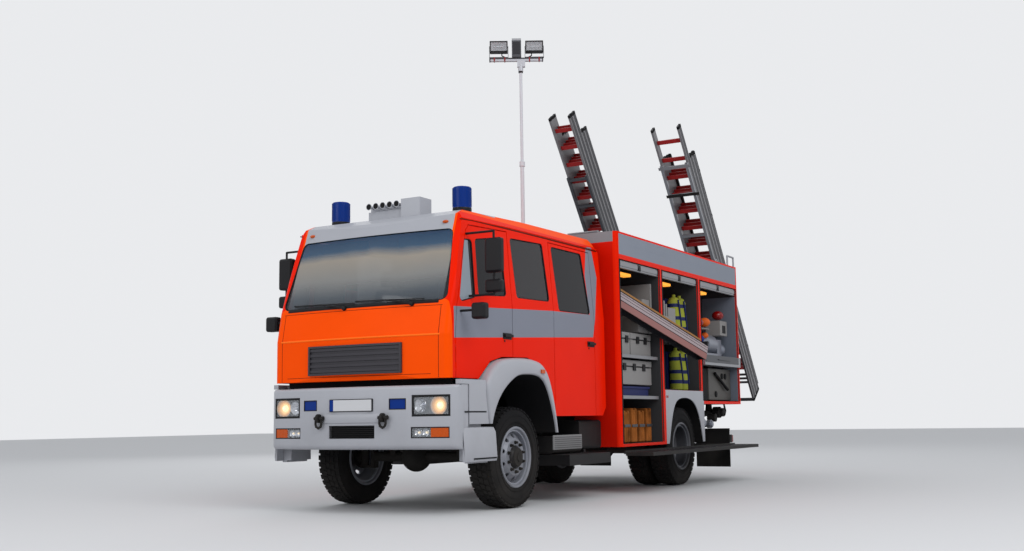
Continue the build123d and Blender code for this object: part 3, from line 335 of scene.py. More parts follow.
def repeat_tree():
    """Copies of a piece, each one step and one turn on from the last."""
    sockets = [("Geometry", "Geometry"), ("Count", "Int"), ("Step", "Vector"), ("Turn", "Vector")]
    sockets += [("Pivot", "Vector"), ("Material", "Material")]
    tree, given, result = group("repeat", "GeometryNodeTree", sockets, sockets[:1])
    single = added(tree, "GeometryNodeGeometryToInstance", {0: given["Geometry"]}).outputs[0]
    amount = {"Geometry": single, "Amount": given["Count"]}
    copies = added(tree, "GeometryNodeDuplicateElements", amount, domain="INSTANCE")
    number = copies.outputs["Duplicate Index"]
    turn, step = (
        added(tree, "ShaderNodeVectorMath", {0: given[name], "Scale": number}, operation="SCALE").outputs[0]
        for name in ("Turn", "Step")
    )
    about = {"Instances": copies.outputs["Geometry"], "Rotation": turn, "Pivot Point": given["Pivot"]}
    turned = added(tree, "GeometryNodeRotateInstances", {**about, "Local Space": False}).outputs[0]
    way = {"Instances": turned, "Translation": step, "Local Space": False}
    moved = added(tree, "GeometryNodeTranslateInstances", way).outputs[0]
    return ended(tree, moved, given, result)


def seal_tree():
    """Rubber bead along the sharp edges of a pane."""
    sockets = [("Geometry", "Geometry"), ("Radius", "Float"), ("Sharper", "Float"), ("Material", "Material")]
    tree, given, result = group("seal", "GeometryNodeTree", sockets, sockets[:1])
    fold = added(tree, "GeometryNodeInputMeshEdgeAngle").outputs["Unsigned Angle"]
    sharp = added(tree, "FunctionNodeCompare", {0: fold, 1: given["Sharper"]}, operation="GREATER_THAN")
    edges = {"Mesh": given["Geometry"], "Selection": sharp.outputs[0]}
    route = added(tree, "GeometryNodeMeshToCurve", edges).outputs[0]
    section = added(tree, "GeometryNodeCurvePrimitiveCircle", {"Radius": given["Radius"], "Resolution": 8})
    bead = added(tree, "GeometryNodeCurveToMesh", {"Curve": route, "Profile Curve": section.outputs[0]})
    return ended(tree, bead.outputs[0], given, result)


def film_group():
    """Road film: dust that thickens towards the ground, broken up by noise."""
    given = (
        ("Colour", "Color", (0.5, 0.5, 0.5, 1)),
        ("Film", "Color", (0.075, 0.066, 0.056, 1)),
        ("Roughness", "Float", 0.4),
        ("Amount", "Float", 0.3),
        ("Height", "Float", 1.2),
        ("Mottle", "Float", 0.06),
    )
    made = (("Colour", "Color"), ("Roughness", "Float"))
    tree, given, result = group("road_film", "ShaderNodeTree", given, made)
    place = added(tree, "ShaderNodeTexCoord").outputs["Object"]
    height = added(tree, "ShaderNodeSeparateXYZ", {0: place}).outputs["Z"]
    cloud = added(tree, "ShaderNodeTexNoise", {"Vector": place, "Scale": 3.5, "Detail": 6}).outputs["Fac"]
    limits = {"Value": cloud, "From Min": 0.35, "From Max": 0.65, "To Min": 0.35, "To Max": 1.0}
    broken = added(tree, "ShaderNodeMapRange", limits).outputs[0]
    fall = calc(tree, "SUBTRACT", 1.0, calc(tree, "DIVIDE", height, given["Height"]), use_clamp=True)
    mask = calc(tree, "MULTIPLY", calc(tree, "MULTIPLY", fall, broken), given["Amount"])
    tone = calc(tree, "MULTIPLY_ADD", calc(tree, "SUBTRACT", cloud, 0.5), given["Mottle"], 1.0)
    shaded = added(tree, "ShaderNodeVectorMath", {0: given["Colour"], "Scale": tone}, operation="SCALE")
    tree.links.new(mixed(tree, mask, shaded.outputs[0], given["Film"]), result["Colour"])
    dull = added(tree, "ShaderNodeMix", {"Factor": mask, "A": given["Roughness"], "B": 0.85})
    tree.links.new(dull.outputs["Result"], result["Roughness"])
    return tree


def line_group():
    """Mask of what lies on one side of a line in the vehicle's side view: 1 where a*x + b*z > c."""
    given = [(label, "Float") for label in "ABC"] + [("Place", "Vector")]
    tree, given, result = group("beyond_line", "ShaderNodeTree", given, (("Mask", "Float"),))
    normal = added(tree, "ShaderNodeCombineXYZ", {"X": given["A"], "Z": given["B"]}).outputs[0]
    along = added(tree, "ShaderNodeVectorMath", {0: given["Place"], 1: normal}, operation="DOT_PRODUCT")
    tree.links.new(calc(tree, "GREATER_THAN", along.outputs["Value"], given["C"]), result[0])
    return tree


REPEAT, SEAL, FILM, LINE = repeat_tree(), seal_tree(), film_group(), line_group()


# Materials


def linear(colour):
    """Screen colour, 0 to 255, as the linear light that a shader takes, with its alpha."""
    return (*(((c / 255 + 0.055) / 1.055) ** 2.4 if c > 10 else c / 255 / 12.92 for c in colour), 1)


paints = {}


def plain(name, colour, roughness=0.5, metallic=0.0, coat=0.0, glow=0.0, solid=1.0, gloss=0.3):
    """Material of one even finish; glass is less than solid."""
    material = paints[name] = bpy.data.materials.new(name)
    material.use_nodes = True
    values = {
        "Base Color": linear(colour),
        "Roughness": roughness,
        "Metallic": metallic,
        "Specular IOR Level": gloss,
        "Coat Weight": coat,
        "Coat Roughness": 0.05,
        "Alpha": solid,
    }
    if glow:
        values.update({"Emission Color": linear(colour), "Emission Strength": glow})
    for socket, value in values.items():
        principled(material)[socket].default_value = value
    return material


def principled(material):
    """Inputs of a material's shader."""
    return material.node_tree.nodes["Principled BSDF"].inputs


def filmed(name, colour, roughness=0.5, metallic=0.0, amount=0.3, height=1.2, mottle=0.1, **more):
    """Material dulled by road film towards the ground; grain is (size, height) in metres."""
    grain = more.pop("grain", None)
    material = plain(name, colour, roughness, metallic, **more)
    tree = material.node_tree
    values = {"Colour": linear(colour), "Roughness": roughness}
    values.update({"Amount": amount, "Height": height, "Mottle": mottle})
    film = added(tree, "ShaderNodeGroup", values, node_tree=FILM, name="film")
    tree.links.new(film.outputs["Colour"], principled(material)["Base Color"])
    tree.links.new(film.outputs["Roughness"], principled(material)["Roughness"])
    if grain:
        place = added(tree, "ShaderNodeTexCoord").outputs["Object"]
        speck = added(tree, "ShaderNodeTexNoise", {"Vector": place, "Scale": 1 / grain[0], "Detail": 3})
        raised = added(tree, "ShaderNodeBump", {"Height": speck.outputs["Fac"], "Distance": grain[1]})
        tree.links.new(raised.outputs["Normal"], principled(material)["Normal"])
    return material


class Areas:
    """Masks of areas of a material, by place on the vehicle, and their colours."""

    def __init__(self, material):
        self.material = material
        self.tree = material.node_tree
        self.place = added(self.tree, "ShaderNodeTexCoord").outputs["Object"]
        self.x, self.y, self.z = added(self.tree, "ShaderNodeSeparateXYZ", {0: self.place}).outputs
        self.wide = self.calc("ABSOLUTE", self.y)

    def calc(self, operation, *values):
        """Output of a math node in the material."""
        return calc(self.tree, operation, *values)

    def above(self, value, limit):
        """Mask of where a value is above a limit."""
        return self.calc("GREATER_THAN", value, limit)

    def below(self, value, limit):
        """Mask of where a value is below a limit."""
        return self.calc("LESS_THAN", value, limit)

    def away(self, value, centre):
        """Distance of a value from a centre, one way or the other."""
        return self.calc("ABSOLUTE", self.calc("SUBTRACT", value, centre))

    def common(self, *masks):
        """Mask of what several masks share."""
        mask = masks[0]
        for other in masks[1:]:
            mask = self.calc("MULTIPLY", mask, other)
        return mask

    def beyond(self, a, b, c):
        """Mask of where a*x + b*z > c."""
        inputs = {"A": a, "B": b, "C": c, "Place": self.place}
        return added(self.tree, "ShaderNodeGroup", inputs, node_tree=LINE).outputs[0]

    def inside(self, *corners):
        """Mask of a convex area in side view, its corners given as (x, z) in turn, anticlockwise."""
        masks = []
        for (x0, z0), (x1, z1) in zip(corners, corners[1:] + corners[:1]):
            a, b = -(z1 - z0), x1 - x0
            masks.append(self.beyond(a, b, a * (x0 + axle_x) + b * z0))
        return self.common(*masks)

    def block(self, x, z):
        """Mask of an upright rectangle in side view between (low, high) pairs."""
        return self.inside((x[0], z[0]), (x[1], z[0]), (x[1], z[1]), (x[0], z[1]))

    def squares(self, first, second):
        """Sum of two values' squares."""
        return self.calc("ADD", self.calc("MULTIPLY", first, first), self.calc("MULTIPLY", second, second))

    def paint(self, *areas):
        """Gives each (mask, screen colour) area its colour, over what came before."""
        film = self.tree.nodes["film"]
        source = self.tree.nodes.new("ShaderNodeRGB")
        source.outputs[0].default_value = film.inputs["Colour"].default_value
        colour = source.outputs[0]
        for mask, shade in areas:
            colour = mixed(self.tree, mask, colour, linear(shade))
        self.tree.links.new(colour, film.inputs["Colour"])
        return self.material


orange = (250, 78, 0)
# Darker orange of the flanks behind the front: painted shade of the sides
shaded_side_orange = (234, 30, 0)
# White paint toned down to grey: its own colour in part, painted shade in part
white = (165, 167, 174)
gloss_paint = {"height": 1.4, "mottle": 0.08, "gloss": 0.04}
moulded = {"coat": 0.1, "amount": 0.35, "mottle": 0.08, "grain": (0.004, 0.0002)}

# Stripe of the cab, in side view: its lower edge climbs towards the back, then it turns up to the roof
stripe_parts = (
    ((-1.93, 1.885), (1.16, 1.72), (1.16, 2.03), (-0.9, 2.13), (-1.93, 2.155)),
    (
        (-1.93, 1.89), (-1.911, 1.9), (-1.856, 2.163), (-1.811, 2.619),
        (-1.91, 2.984), (-2.049, 3.001), (-2.142, 2.627),
    ),
)


def cab_paint():
    """Luminous orange of the cab with painted shade on its flanks, its grey stripe, the white strip over the
    windscreen, black wheel bays.
    """
    cab = Areas(filmed("cab_paint", orange, 0.34, amount=0.1, **gloss_paint))
    flank = cab.above(cab.wide, 0.98)
    room = cab.inside((-2.12, 1.63), (1.1, 1.63), (0.82, 2.86), (-2.12, 2.86))
    cab.paint(
        # Flanks behind the front corner: darker orange as painted shade
        (cab.common(flank, cab.below(cab.x, axle_x + 1.19)), shaded_side_orange),
        *((cab.common(cab.inside(*corners), flank), (128, 132, 144)) for corners in stripe_parts),
        (cab.common(cab.block((0.1, 1.4), (2.8, 3.3)), cab.below(cab.wide, 0.955)), white),
        (cab.common(cab.block((-2.1, 1.18), (0.6, 1.63)), cab.below(cab.wide, 1.092)), (20, 20, 22)),
        (cab.common(room, cab.below(cab.wide, 1.03)), (42, 43, 47)),
    )


def body_paint():
    """Orange-red of the locker body: deeper on its front face as painted shade, grey banner, locker insides
    darkened as painted shade, grey roof.
    """
    body = Areas(filmed("body_paint", (228, 30, 0), 0.34, amount=0.15, **gloss_paint))
    banner, lockers = body.block((-6.72, -2.40), (2.945, 3.205)), body.block((-6.702, -2.418), (0.59, 3.07))
    body.paint(
        (body.common(banner, body.above(body.wide, 1.245)), (132, 138, 150)),
        # Front face of the body: deeper red as painted shade
        (body.common(body.above(body.x, axle_x - 2.35), body.below(body.wide, 1.19)), (206, 20, 2)),
        # Inside the lockers: dark grey as painted shade
        (body.common(lockers, body.below(body.wide, 1.2385)), (60, 60, 62)),
        (body.common(body.above(body.z, 3.1), body.below(body.wide, 1.195)), (132, 134, 138)),
    )


def bumper_paint():
    """White of the bumper, with its towing lugs in dark steel."""
    bumper = Areas(filmed("bumper_paint", white, 0.36, **moulded))
    lug = bumper.below(bumper.away(bumper.wide, 0.4), 0.0125)
    bumper.paint((bumper.common(lug, bumper.above(bumper.x, axle_x + 1.353)), (34, 34, 37)))


def rim_paint(name, x, dish, edge):
    """Silver of a rim, its dish darker than its edge as painted shade, and its hub in black, round the
    wheel's axis.
    """
    rim = Areas(filmed(name, dish, 0.36, metallic=0.35, amount=0.45, mottle=0.25))
    along, rise = rim.calc("SUBTRACT", rim.x, x + axle_x), rim.calc("SUBTRACT", rim.z, tyre_radius)
    squares = rim.squares(along, rise)
    # Dish in a darker tone than the edge: painted shade in the dish
    rim.paint((rim.below(squares, 0.122**2), (26, 27, 31)), (rim.above(squares, 0.268**2), edge))


def ladder_paint(name, low, high, pole_out):
    """Silver rails with dark flanks and rear poles, and dark red rungs between the rails; all darker below
    the body's roof as painted shade.
    """
    finish = {"amount": 0.1, "mottle": 0.25, "grain": (0.012, 0.0004)}
    pack = Areas(filmed(name, (122, 121, 124), 0.42, metallic=0.2, **finish))
    rail = 0.031
    far_x, _, far_z = rack_point(0, 0, pole_out)
    behind = rack_out.x * (far_x + axle_x) + rack_out.z * far_z
    pack.paint(
        (pack.common(pack.above(pack.y, low + rail), pack.below(pack.y, high - rail)), (132, 20, 22)),
        (pack.above(pack.away(pack.y, (low + high) / 2), (high - low) / 2 - 0.002), (62, 62, 66)),
        (pack.beyond(rack_out.x, rack_out.z, behind), (30, 30, 33)),
        # Below the body's roof: darker as painted shade
        (pack.below(pack.z, 3.1), (50, 49, 52)),
    )


def head_paint():
    """Mast head: silver beam under a dark one, dark yokes, grey box with a pale top."""
    head = Areas(filmed("mast_head_paint", (176, 178, 184), 0.4, metallic=0.2, amount=0.05))
    levels = ((5.698, (58, 58, 62)), (5.734, (70, 71, 76)), (5.95, (150, 152, 156)))
    head.paint(*((head.above(head.z, height), shade) for height, shade in levels))


def screen_glass():
    """Windscreen and fixed panes: sky and ground mirrored in it as painted reflection from pale to blue, dark
    on the flanks.
    """
    material = plain("screen_glass", (150, 156, 158), 0.02, solid=0.62, gloss=0.5)
    pane = Areas(material)
    streak = added(pane.tree, "ShaderNodeTexNoise", {"Vector": pane.place, "Scale": 1.6, "Detail": 2})
    wave = pane.calc("MULTIPLY", streak.outputs["Fac"], 0.12)
    level = pane.calc("SUBTRACT", pane.calc("ADD", pane.z, wave), 0.06)
    rise = added(pane.tree, "ShaderNodeMapRange", {"Value": level, "From Min": 2.04, "From Max": 2.86})
    # Painted reflection of ground and sky, from low to high on the glass
    stops = ((0.0, (56, 62, 72)), (1.0, (22, 60, 96)), (0.2, (88, 96, 104)), (0.42, (146, 146, 144)))
    stops += ((0.68, (168, 160, 148)), (0.8, (62, 92, 120)))
    sky = ramp(pane.tree, rise.outputs[0], stops)
    seen = mixed(pane.tree, pane.above(pane.wide, 0.985), sky, linear((28, 29, 34)))
    pane.tree.links.new(seen, principled(material)["Base Color"])


def pane_glass():
    """Door panes: dark, with the sky's pale light painted into the quarter window."""
    material = plain("side_glass", (40, 41, 46), 0.02, solid=0.94, gloss=0.15)
    pane = Areas(material)
    quarter = pane.above(pane.x, axle_x + 0.80)
    # Quarter window: pale sky light painted into its colour
    seen = mixed(pane.tree, quarter, linear((24, 24, 28)), linear((140, 150, 160)))
    pane.tree.links.new(seen, principled(material)["Base Color"])


def lit_reflector():
    """Head lamp's bowl: palest round the bulb, golden further out and grey at its rim."""
    material = plain("warm_lamp", (250, 196, 128), 0.3, glow=0.5)
    bowl = Areas(material)
    across, above = bowl.calc("SUBTRACT", bowl.wide, lamp_y), bowl.calc("SUBTRACT", bowl.z, lamp_z)
    reach = bowl.calc("SQRT", bowl.squares(across, above))
    stops = ((0.25, (255, 242, 208)), (0.94, (128, 124, 120)))
    stops += ((0.45, (252, 206, 136)), (0.72, (196, 146, 92)))
    shade = ramp(bowl.tree, bowl.calc("MULTIPLY", reach, 10), stops)
    for socket in ("Base Color", "Emission Color"):
        bowl.tree.links.new(shade, principled(material)[socket])


# Head lamp's centre, and the frame of the ladder racks, which their paints need too
lamp_y, lamp_z = 0.972, 1.065
rack_hinge = Vector((-6.74, 0, 3.35))
rack_tilt = math.radians(53)
rack_along = Vector((math.cos(rack_tilt), 0, math.sin(rack_tilt)))
rack_out = Vector((-math.sin(rack_tilt), 0, math.cos(rack_tilt)))


def rack_point(along, y, out):
    """Point in the rack's directions: up the ladders from the hinge, across, and out of the stack."""
    return rack_hinge + rack_along * along + Vector((0, y, 0)) + rack_out * out


# Packs as centre y, width, the sections' upper ends
section_depth, section_gap, first_section, ladder_foot = 0.112, 0.0003, 0.0223, -2.75
section_pitch = section_depth + section_gap
packs = {"left": (0.70, 0.45, (2.34, 1.80, 1.77)), "right": (-0.95, 0.37, (2.78, 2.77, 2.42, 2.40))}


def make_paints():
    """All finishes, each a material by its own name."""
    for make in (cab_paint, body_paint, bumper_paint, head_paint, screen_glass, pane_glass, lit_reflector):
        make()
    for side, (centre, width, tops) in packs.items():
        stack = first_section + len(tops) * section_pitch
        ladder_paint(f"ladder_paint_{side}", centre - width / 2, centre + width / 2, stack)
    rim_paint("front_rim_paint", 0, (136, 139, 148), (166, 170, 180))
    # Rear rims in darker tones than the front ones: painted shade
    rim_paint("rear_rim_paint", rear_axle, (74, 76, 83), (110, 113, 121))

    # Frame, wheels and cab
    filmed("white_plastic", white, 0.4, height=1.3, **moulded)
    filmed("black_plastic", (20, 20, 23), 0.5, amount=0.2, height=1.0, gloss=0.2, grain=(0.003, 0.0003))
    worn = {"amount": 0.45, "height": 1.3, "mottle": 0.3, "gloss": 0.2}
    filmed("frame_paint", (24, 24, 27), 0.6, grain=(0.01, 0.0006), **worn)
    filmed("cast_iron", (30, 29, 29), 0.75, amount=0.5, mottle=0.3, gloss=0.2, grain=(0.006, 0.001))
    filmed("tyre_rubber", (22, 22, 24), 0.9, height=1.1, mottle=0.3, gloss=0.15, grain=(0.008, 0.0006))
    filmed("rim_paint", (140, 143, 152), 0.38, metallic=0.3, amount=0.5, height=1.3, mottle=0.2)
    # Rear flanges darker than the front rims' paint: painted shade
    filmed("rear_flange_paint", (92, 94, 101), 0.45, metallic=0.3, amount=0.6, height=1.3, mottle=0.3)
    filmed("rubber", (20, 20, 22), 0.85, amount=0.35, height=1.0, gloss=0.15, grain=(0.005, 0.0005))
    filmed("aluminium", (150, 152, 157), 0.38, metallic=0.6, amount=0.2, mottle=0.15, grain=(0.01, 0.0003))
    filmed("bright_steel", (130, 132, 138), 0.32, metallic=0.9, mottle=0.2)
    filmed("mast_tube", (196, 197, 203), 0.35, amount=0.1, mottle=0.08)
    filmed("dark_metal", (44, 44, 48), 0.5, metallic=0.4, amount=0.2)
    filmed("cab_trim", (36, 37, 41), 0.7, amount=0.1, gloss=0.2, grain=(0.004, 0.0005))
    filmed("seat_cloth", (28, 30, 38), 0.95, amount=0.05, mottle=0.5, gloss=0.1, grain=(0.003, 0.001))
    # Light orange line on the cab's front: painted highlight
    filmed("crease_highlight_paint", (255, 112, 24), 0.3, amount=0.1, mottle=0.05, gloss=0.1)
    filmed("grille_plastic", (50, 48, 54), 0.45, amount=0.15, grain=(0.004, 0.0003))
    plain("seal_rubber", (15, 15, 17), 0.65, gloss=0.15)
    plain("panel_seam", (96, 26, 8), 0.6, gloss=0.1)

    # Lamps and plate
    filmed("lamp_reflector", (146, 144, 146), 0.4, metallic=0.2, amount=0.05, mottle=0.3)
    plain("clear_lens", (205, 210, 216), 0.03, solid=0.16, gloss=0.5)
    plain("chrome", (196, 198, 204), 0.14, metallic=1.0, gloss=0.5)
    plain("lamp_bulb", (255, 232, 190), 0.4, glow=0.9)
    plain("amber_lens", (190, 78, 10), 0.15)
    plain("blue_lens", (0, 45, 124), 0.14, gloss=0.15)
    plain("red_lens", (132, 10, 10), 0.15, coat=0.3)
    plain("locker_lamp", (255, 168, 60), 0.5, glow=1.0)
    plain("plate_face", (196, 197, 200), 0.4)

    # Lockers and their gear
    filmed("shutter_slat", (136, 137, 141), 0.38, metallic=0.3, amount=0.2, mottle=0.08)
    filmed("locker_wall", (104, 110, 122), 0.6, amount=0.1, mottle=0.15)
    filmed("drawer_face", (70, 72, 77), 0.4, metallic=0.3, amount=0.15, mottle=0.15)
    filmed("case_plastic", (132, 132, 133), 0.5, amount=0.15, mottle=0.12, grain=(0.004, 0.0003))
    # White cases and boards toned down to grey as painted shade inside the lockers
    filmed("white_case", (134, 132, 131), 0.45, amount=0.1, mottle=0.08, grain=(0.004, 0.0003))
    filmed("navy_plastic", (22, 32, 84), 0.6, amount=0.1, grain=(0.006, 0.0005))
    filmed("hose_cloth", (150, 88, 38), 0.95, amount=0.2, mottle=3.2, gloss=0.1, grain=(0.01, 0.003))
    filmed("lime_cover", (150, 156, 58), 0.75, amount=0.05, mottle=0.35, gloss=0.15, grain=(0.012, 0.002))
    filmed("pump_panel", (84, 82, 79), 0.5, metallic=0.2, amount=0.2, mottle=0.3)
    filmed("silver_gear", (126, 130, 141), 0.28, metallic=0.5, amount=0.1, mottle=0.4)
    filmed("blue_gear", (26, 46, 128), 0.6, amount=0.05, mottle=0.3)
    filmed("orange_gear", (214, 96, 24), 0.6, amount=0.05, mottle=0.3)

    # Tray and ladders
    filmed("tray_band_paint", (148, 102, 98), 0.5, amount=0.1, mottle=0.15)
    filmed("tray_wall_paint", (166, 152, 155), 0.45, amount=0.1, mottle=0.12)
    filmed("tray_deck_board", (160, 118, 74), 0.75, amount=0.1, mottle=0.7, gloss=0.15, grain=(0.02, 0.001))
    filmed("rail_flange", (150, 149, 152), 0.4, metallic=0.3, amount=0.1, mottle=0.25)
    filmed("rung_tread", (150, 26, 26), 0.5, amount=0.1, mottle=0.4, grain=(0.004, 0.0008))


def dress_nodes():
    """Gives every CAD node its finish; a {} stands for both sides."""
    wear = {
        "cab_paint": "cab_shell driver_door_{} crew_door_{}",
        "body_paint": "body_shell",
        "screen_glass": "cab_windows",
        "side_glass": "driver_door_panes_{} crew_door_panes_{}",
        "bumper_paint": "bumper",
        "white_plastic": "cab_steps front_arches rear_arches horn_bar",
        "grille_plastic": "grille",
        "black_plastic": "mirrors_{} crew_steps",
        "frame_paint": "chassis_frame side_tanks step_arms step_board_{}",
        "cast_iron": "engine_block front_axle rear_axle knuckle_{}",
        "tyre_rubber": "front_tyre_{} rear_tyres_{}",
        "front_rim_paint": "front_rim_{}",
        "rear_rim_paint": "rear_rims_{}",
        "drawer_face": "ladder_rack_right",
        "rubber": "mud_flaps",
        "aluminium": "ladder_rack_left body_shelves roof_fittings side_tray pump_couplings",
        "mast_head_paint": "mast_head",
        "shutter_slat": "roller_shutters",
        "mast_tube": "mast_base mast_stage_1 mast_stage_2",
        "cab_trim": "cab_interior",
        "case_plastic": "equipment",
        "chrome": "floodlights",
        "clear_lens": "head_lamps",
        "amber_lens": "amber_lamps",
        "blue_lens": "blue_lamps",
        "red_lens": "tail_lamps",
        "ladder_paint_left": "ladders_left",
        "ladder_paint_right": "ladders_right",
    }
    for finish, nodes in wear.items():
        for node in nodes.split():
            for side in ("left", "right") if "{}" in node else ("",):
                dressed(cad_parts[node.format(side)].data, finish)


def window_seals():
    """Black rubber bead round every pane."""
    panes = [("cab_windows", "root")]
    for door in ("driver_door", "crew_door"):
        panes += [(f"{door}_panes_{side}", f"{door}_{side}") for side in ("left", "right")]
    values = {"Radius": 0.011, "Sharper": math.radians(50), "Material": paint("seal_rubber")}
    for node, body in panes:
        pane = Shape()
        pane.mesh.from_mesh(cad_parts[node].data)
        bmesh.ops.remove_doubles(pane.mesh, verts=pane.mesh.verts, dist=1e-5)
        flat = {"verts": pane.mesh.verts, "edges": pane.mesh.edges}
        bmesh.ops.dissolve_limit(pane.mesh, angle_limit=math.radians(1), **flat)
        name = node.replace("panes", "seals").replace("windows", "window_seals")
        finished(name, made_by(SEAL, pane.data(name), values), "seal_rubber", body, smooth=True)


# Wheels

# Half of a tyre's section, as (radius, distance in from its wall)
tyre_section = ((0.290, 0.045), (0.300, 0.020), (0.330, 0.006), (0.385, 0.0))
tyre_section += ((0.440, 0.003), (0.478, 0.012), (0.502, 0.026), (0.513, 0.045))
flange_section = ((-0.045, 0.284), (-0.012, 0.287), (-0.001, 0.296), (0.001, 0.308))
flange_section += ((-0.005, 0.318), (-0.014, 0.32), (-0.03, 0.30), (-0.045, 0.296))
tread_rows, tread_blocks, tread_height = 5, 44, 0.0162


def tyre(name, wheel, side, x, y, width, flange_paint):
    """Rounded tyre with side ribs and tread blocks, and its rim's flanges; returns the casing."""
    body = f"{wheel}_{side}"
    flanges, casing, ribs, rows = (Shape() for _ in range(4))
    for face in both:
        flanges.lathe((x, y + face * width / 2, tyre_radius), (0, face, 0), flange_section, 64, closed=True)
    flanges.piece(f"{name}_flanges_{side}", flange_paint, body, smooth=True)
    half = [(-width / 2 + inset, radius) for radius, inset in tyre_section]
    profile = half + [(-along, radius) for along, radius in reversed(half)]
    casing.lathe((x, y, tyre_radius), outwards, profile, 72, closed=True)
    shown = casing.piece(f"{name}_casing_{side}", "tyre_rubber", body, smooth=True, angle=60)
    for radius, inset in ((0.352, 0.003), (0.36, 0.0025), (0.43, 0.002)):
        bead = ((0, radius), (0.003, radius + 0.001), (0.003, radius + 0.003), (0, radius + 0.004))
        for face in both:
            centre = (x, y + face * (width / 2 - inset), tyre_radius)
            ribs.lathe(centre, (0, face, 0), bead, 48, closed=True)
    ribs.piece(f"{name}_ribs_{side}", "rubber", body, smooth=True)
    pitch = width / 5.4
    half_block = pitch * 0.43
    outline = ((-0.029, -half_block), (0.023, -half_block), (0.029, half_block), (-0.023, half_block))
    for row in range(tread_rows):
        middle = y + (row - 2) * pitch
        lead = 0.018 if row % 2 else 0.0
        top = tyre_radius * 2 - 0.018 - (0.010 if row in (0, tread_rows - 1) else 0.0)
        levels = (top, top + tread_height)
        rows.skin([[(x + lead + dx, middle + dy, level) for dx, dy in outline] for level in levels])
    turn = {"turn": (0, full_turn / tread_blocks, 0), "pivot": (x, y, tyre_radius)}
    rows.repeated(f"{name}_tread_{side}", "tyre_rubber", tread_blocks, body, **turn)
    return shown


def wheel_details():
    """Tyres, wheel nuts and hub caps."""
    nut = ((0, 0.019), (0.012, 0.019), (0.012, 0.014), (0.034, 0.013))
    cap = ((0, 0.096), (0.006, 0.094), (0.012, 0.082), (0.014, 0.05), (0.024, 0.046), (0.028, 0.03))
    nuts, nut_circle = 10, 0.152
    for side, sign in sides:
        front = tyre("front_tyre", "front_wheel", side, 0, sign * front_tyre_y, 0.30, "rim_paint")
        rear, _ = (
            tyre(f"rear_{place}_tyre", "rear_wheels", side, rear_axle, sign * y, 0.28, "rear_flange_paint")
            for place, y in (("outer", 1.085), ("inner", 0.755))
        )
        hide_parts(f"front_tyre_{side}")
        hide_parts(f"rear_tyres_{side}")
        for body, name, x, face in (
            ("front_wheel", "front_wheel", 0, 1.102),
            ("rear_wheels", "rear_wheel", rear_axle, 0.938),
        ):
            first = Shape(sign).lathe((x, face, tyre_radius + nut_circle), outwards, nut, 6)
            turn = {"turn": (0, full_turn / nuts, 0), "pivot": (x, 0, tyre_radius)}
            first.repeated(f"{name}_nuts_{side}", "cast_iron", nuts, f"{body}_{side}", **turn)
        hub = Shape(sign).lathe((0, 1.1355, tyre_radius), outwards, cap)
        hub.piece(f"hub_cap_{side}", "cast_iron", f"front_wheel_{side}", smooth=True)


# Cab

nose_radius, bumper_radius = 7.6025, 4.669
nose_bands = ((1.76, 2.07, 0.06), (2.07, 3.2, 0.386))


def bowed(y, front, radius):
    """How far forwards a bowed face is at y."""
    return front - (radius - math.sqrt(radius**2 - y**2))


def nose(y, z, proud=0.0):
    """Point on the cab's front at (y, z), moved out by proud."""
    x = bowed(y, 1.33, nose_radius)
    for low, high, back in nose_bands:
        x -= back * min(max((z - low) / (high - low), 0), 1)
    return (x + proud, y, z)


def bumper_x(y):
    """How far forwards the bumper's front is at y."""
    return bowed(y, 1.367, bumper_radius)


def flank(x, z, side=1, proud=0.0):
    """Point on the cab's side wall, which leans in above the tumblehome."""
    y = 1.1 - max(z - 2.1, 0) * 0.065 / 0.85
    return (x, side * (y + proud), z)


def around(middle, reach):
    """(low, high) pair about a middle."""
    return (middle - reach, middle + reach)


def eased(points, rounds=3):
    """Outline with its corners cut into curves; the ends stay."""
    for _ in range(rounds):
        cut = [points[0]]
        for (x0, z0), (x1, z1) in zip(points, points[1:]):
            cut.append((x0 * 0.75 + x1 * 0.25, z0 * 0.75 + z1 * 0.25))
            cut.append((x0 * 0.25 + x1 * 0.75, z0 * 0.25 + z1 * 0.75))
        points = cut + [points[-1]]
    return points


def evenly(points, count):
    """Points at even distances along an outline."""
    lengths = [math.dist(a, b) for a, b in zip(points, points[1:])]
    result = []
    for k in range(count):
        goal = sum(lengths) * k / (count - 1)
        for i, length in enumerate(lengths):
            if goal <= length or i == len(lengths) - 1:
                share = min(goal / length, 1)
                (x0, z0), (x1, z1) = points[i], points[i + 1]
                result.append((x0 + (x1 - x0) * share, z0 + (z1 - z0) * share))
                break
            goal -= length
    return result


def cab_seams():
    """Dark joints of the front panels, the roof's gutters, and a painted highlight line where the front
    folds.
    """
    seam, sink = 0.0032, -0.001
    seams, gutters = Shape(), Shape()
    for y_range, z in ((range(-10, 11, 2), 2.045), (range(-9, 10, 2), 1.372)):
        seams.tube([nose(y / 10, z, sink) for y in y_range], seam, 6)
    for sign in both:
        seams.tube([nose(sign * 0.985, z, sink) for z in (1.335, 1.5, 1.76, 1.9, 2.04)], seam, 6)
        edge = ((0.93, 2.935), (0.7, 2.948), (0.0, 2.955), (-1.0, 2.962), (-2.2, 2.968))
        seams.tube([flank(x, z, sign, sink) for x, z in edge], 0.007, 6)
        edge = ((0.9, 2.95), (0.0, 2.972), (-1.0, 2.98), (-2.2, 2.986))
        gutters.tube([flank(x, z, sign) for x, z in edge], 0.009, 8)
    seams.piece("cab_seams", "panel_seam", smooth=True)
    gutters.piece("roof_gutters", "cab_paint", smooth=True)
    # Painted highlight along the fold in the cab's front
    highlight_line = Shape().tube([nose(y / 20, 1.755, -0.004) for y in range(-20, 21)], 0.011, 8)
    highlight_line.piece("front_crease", "crease_highlight_paint", smooth=True)


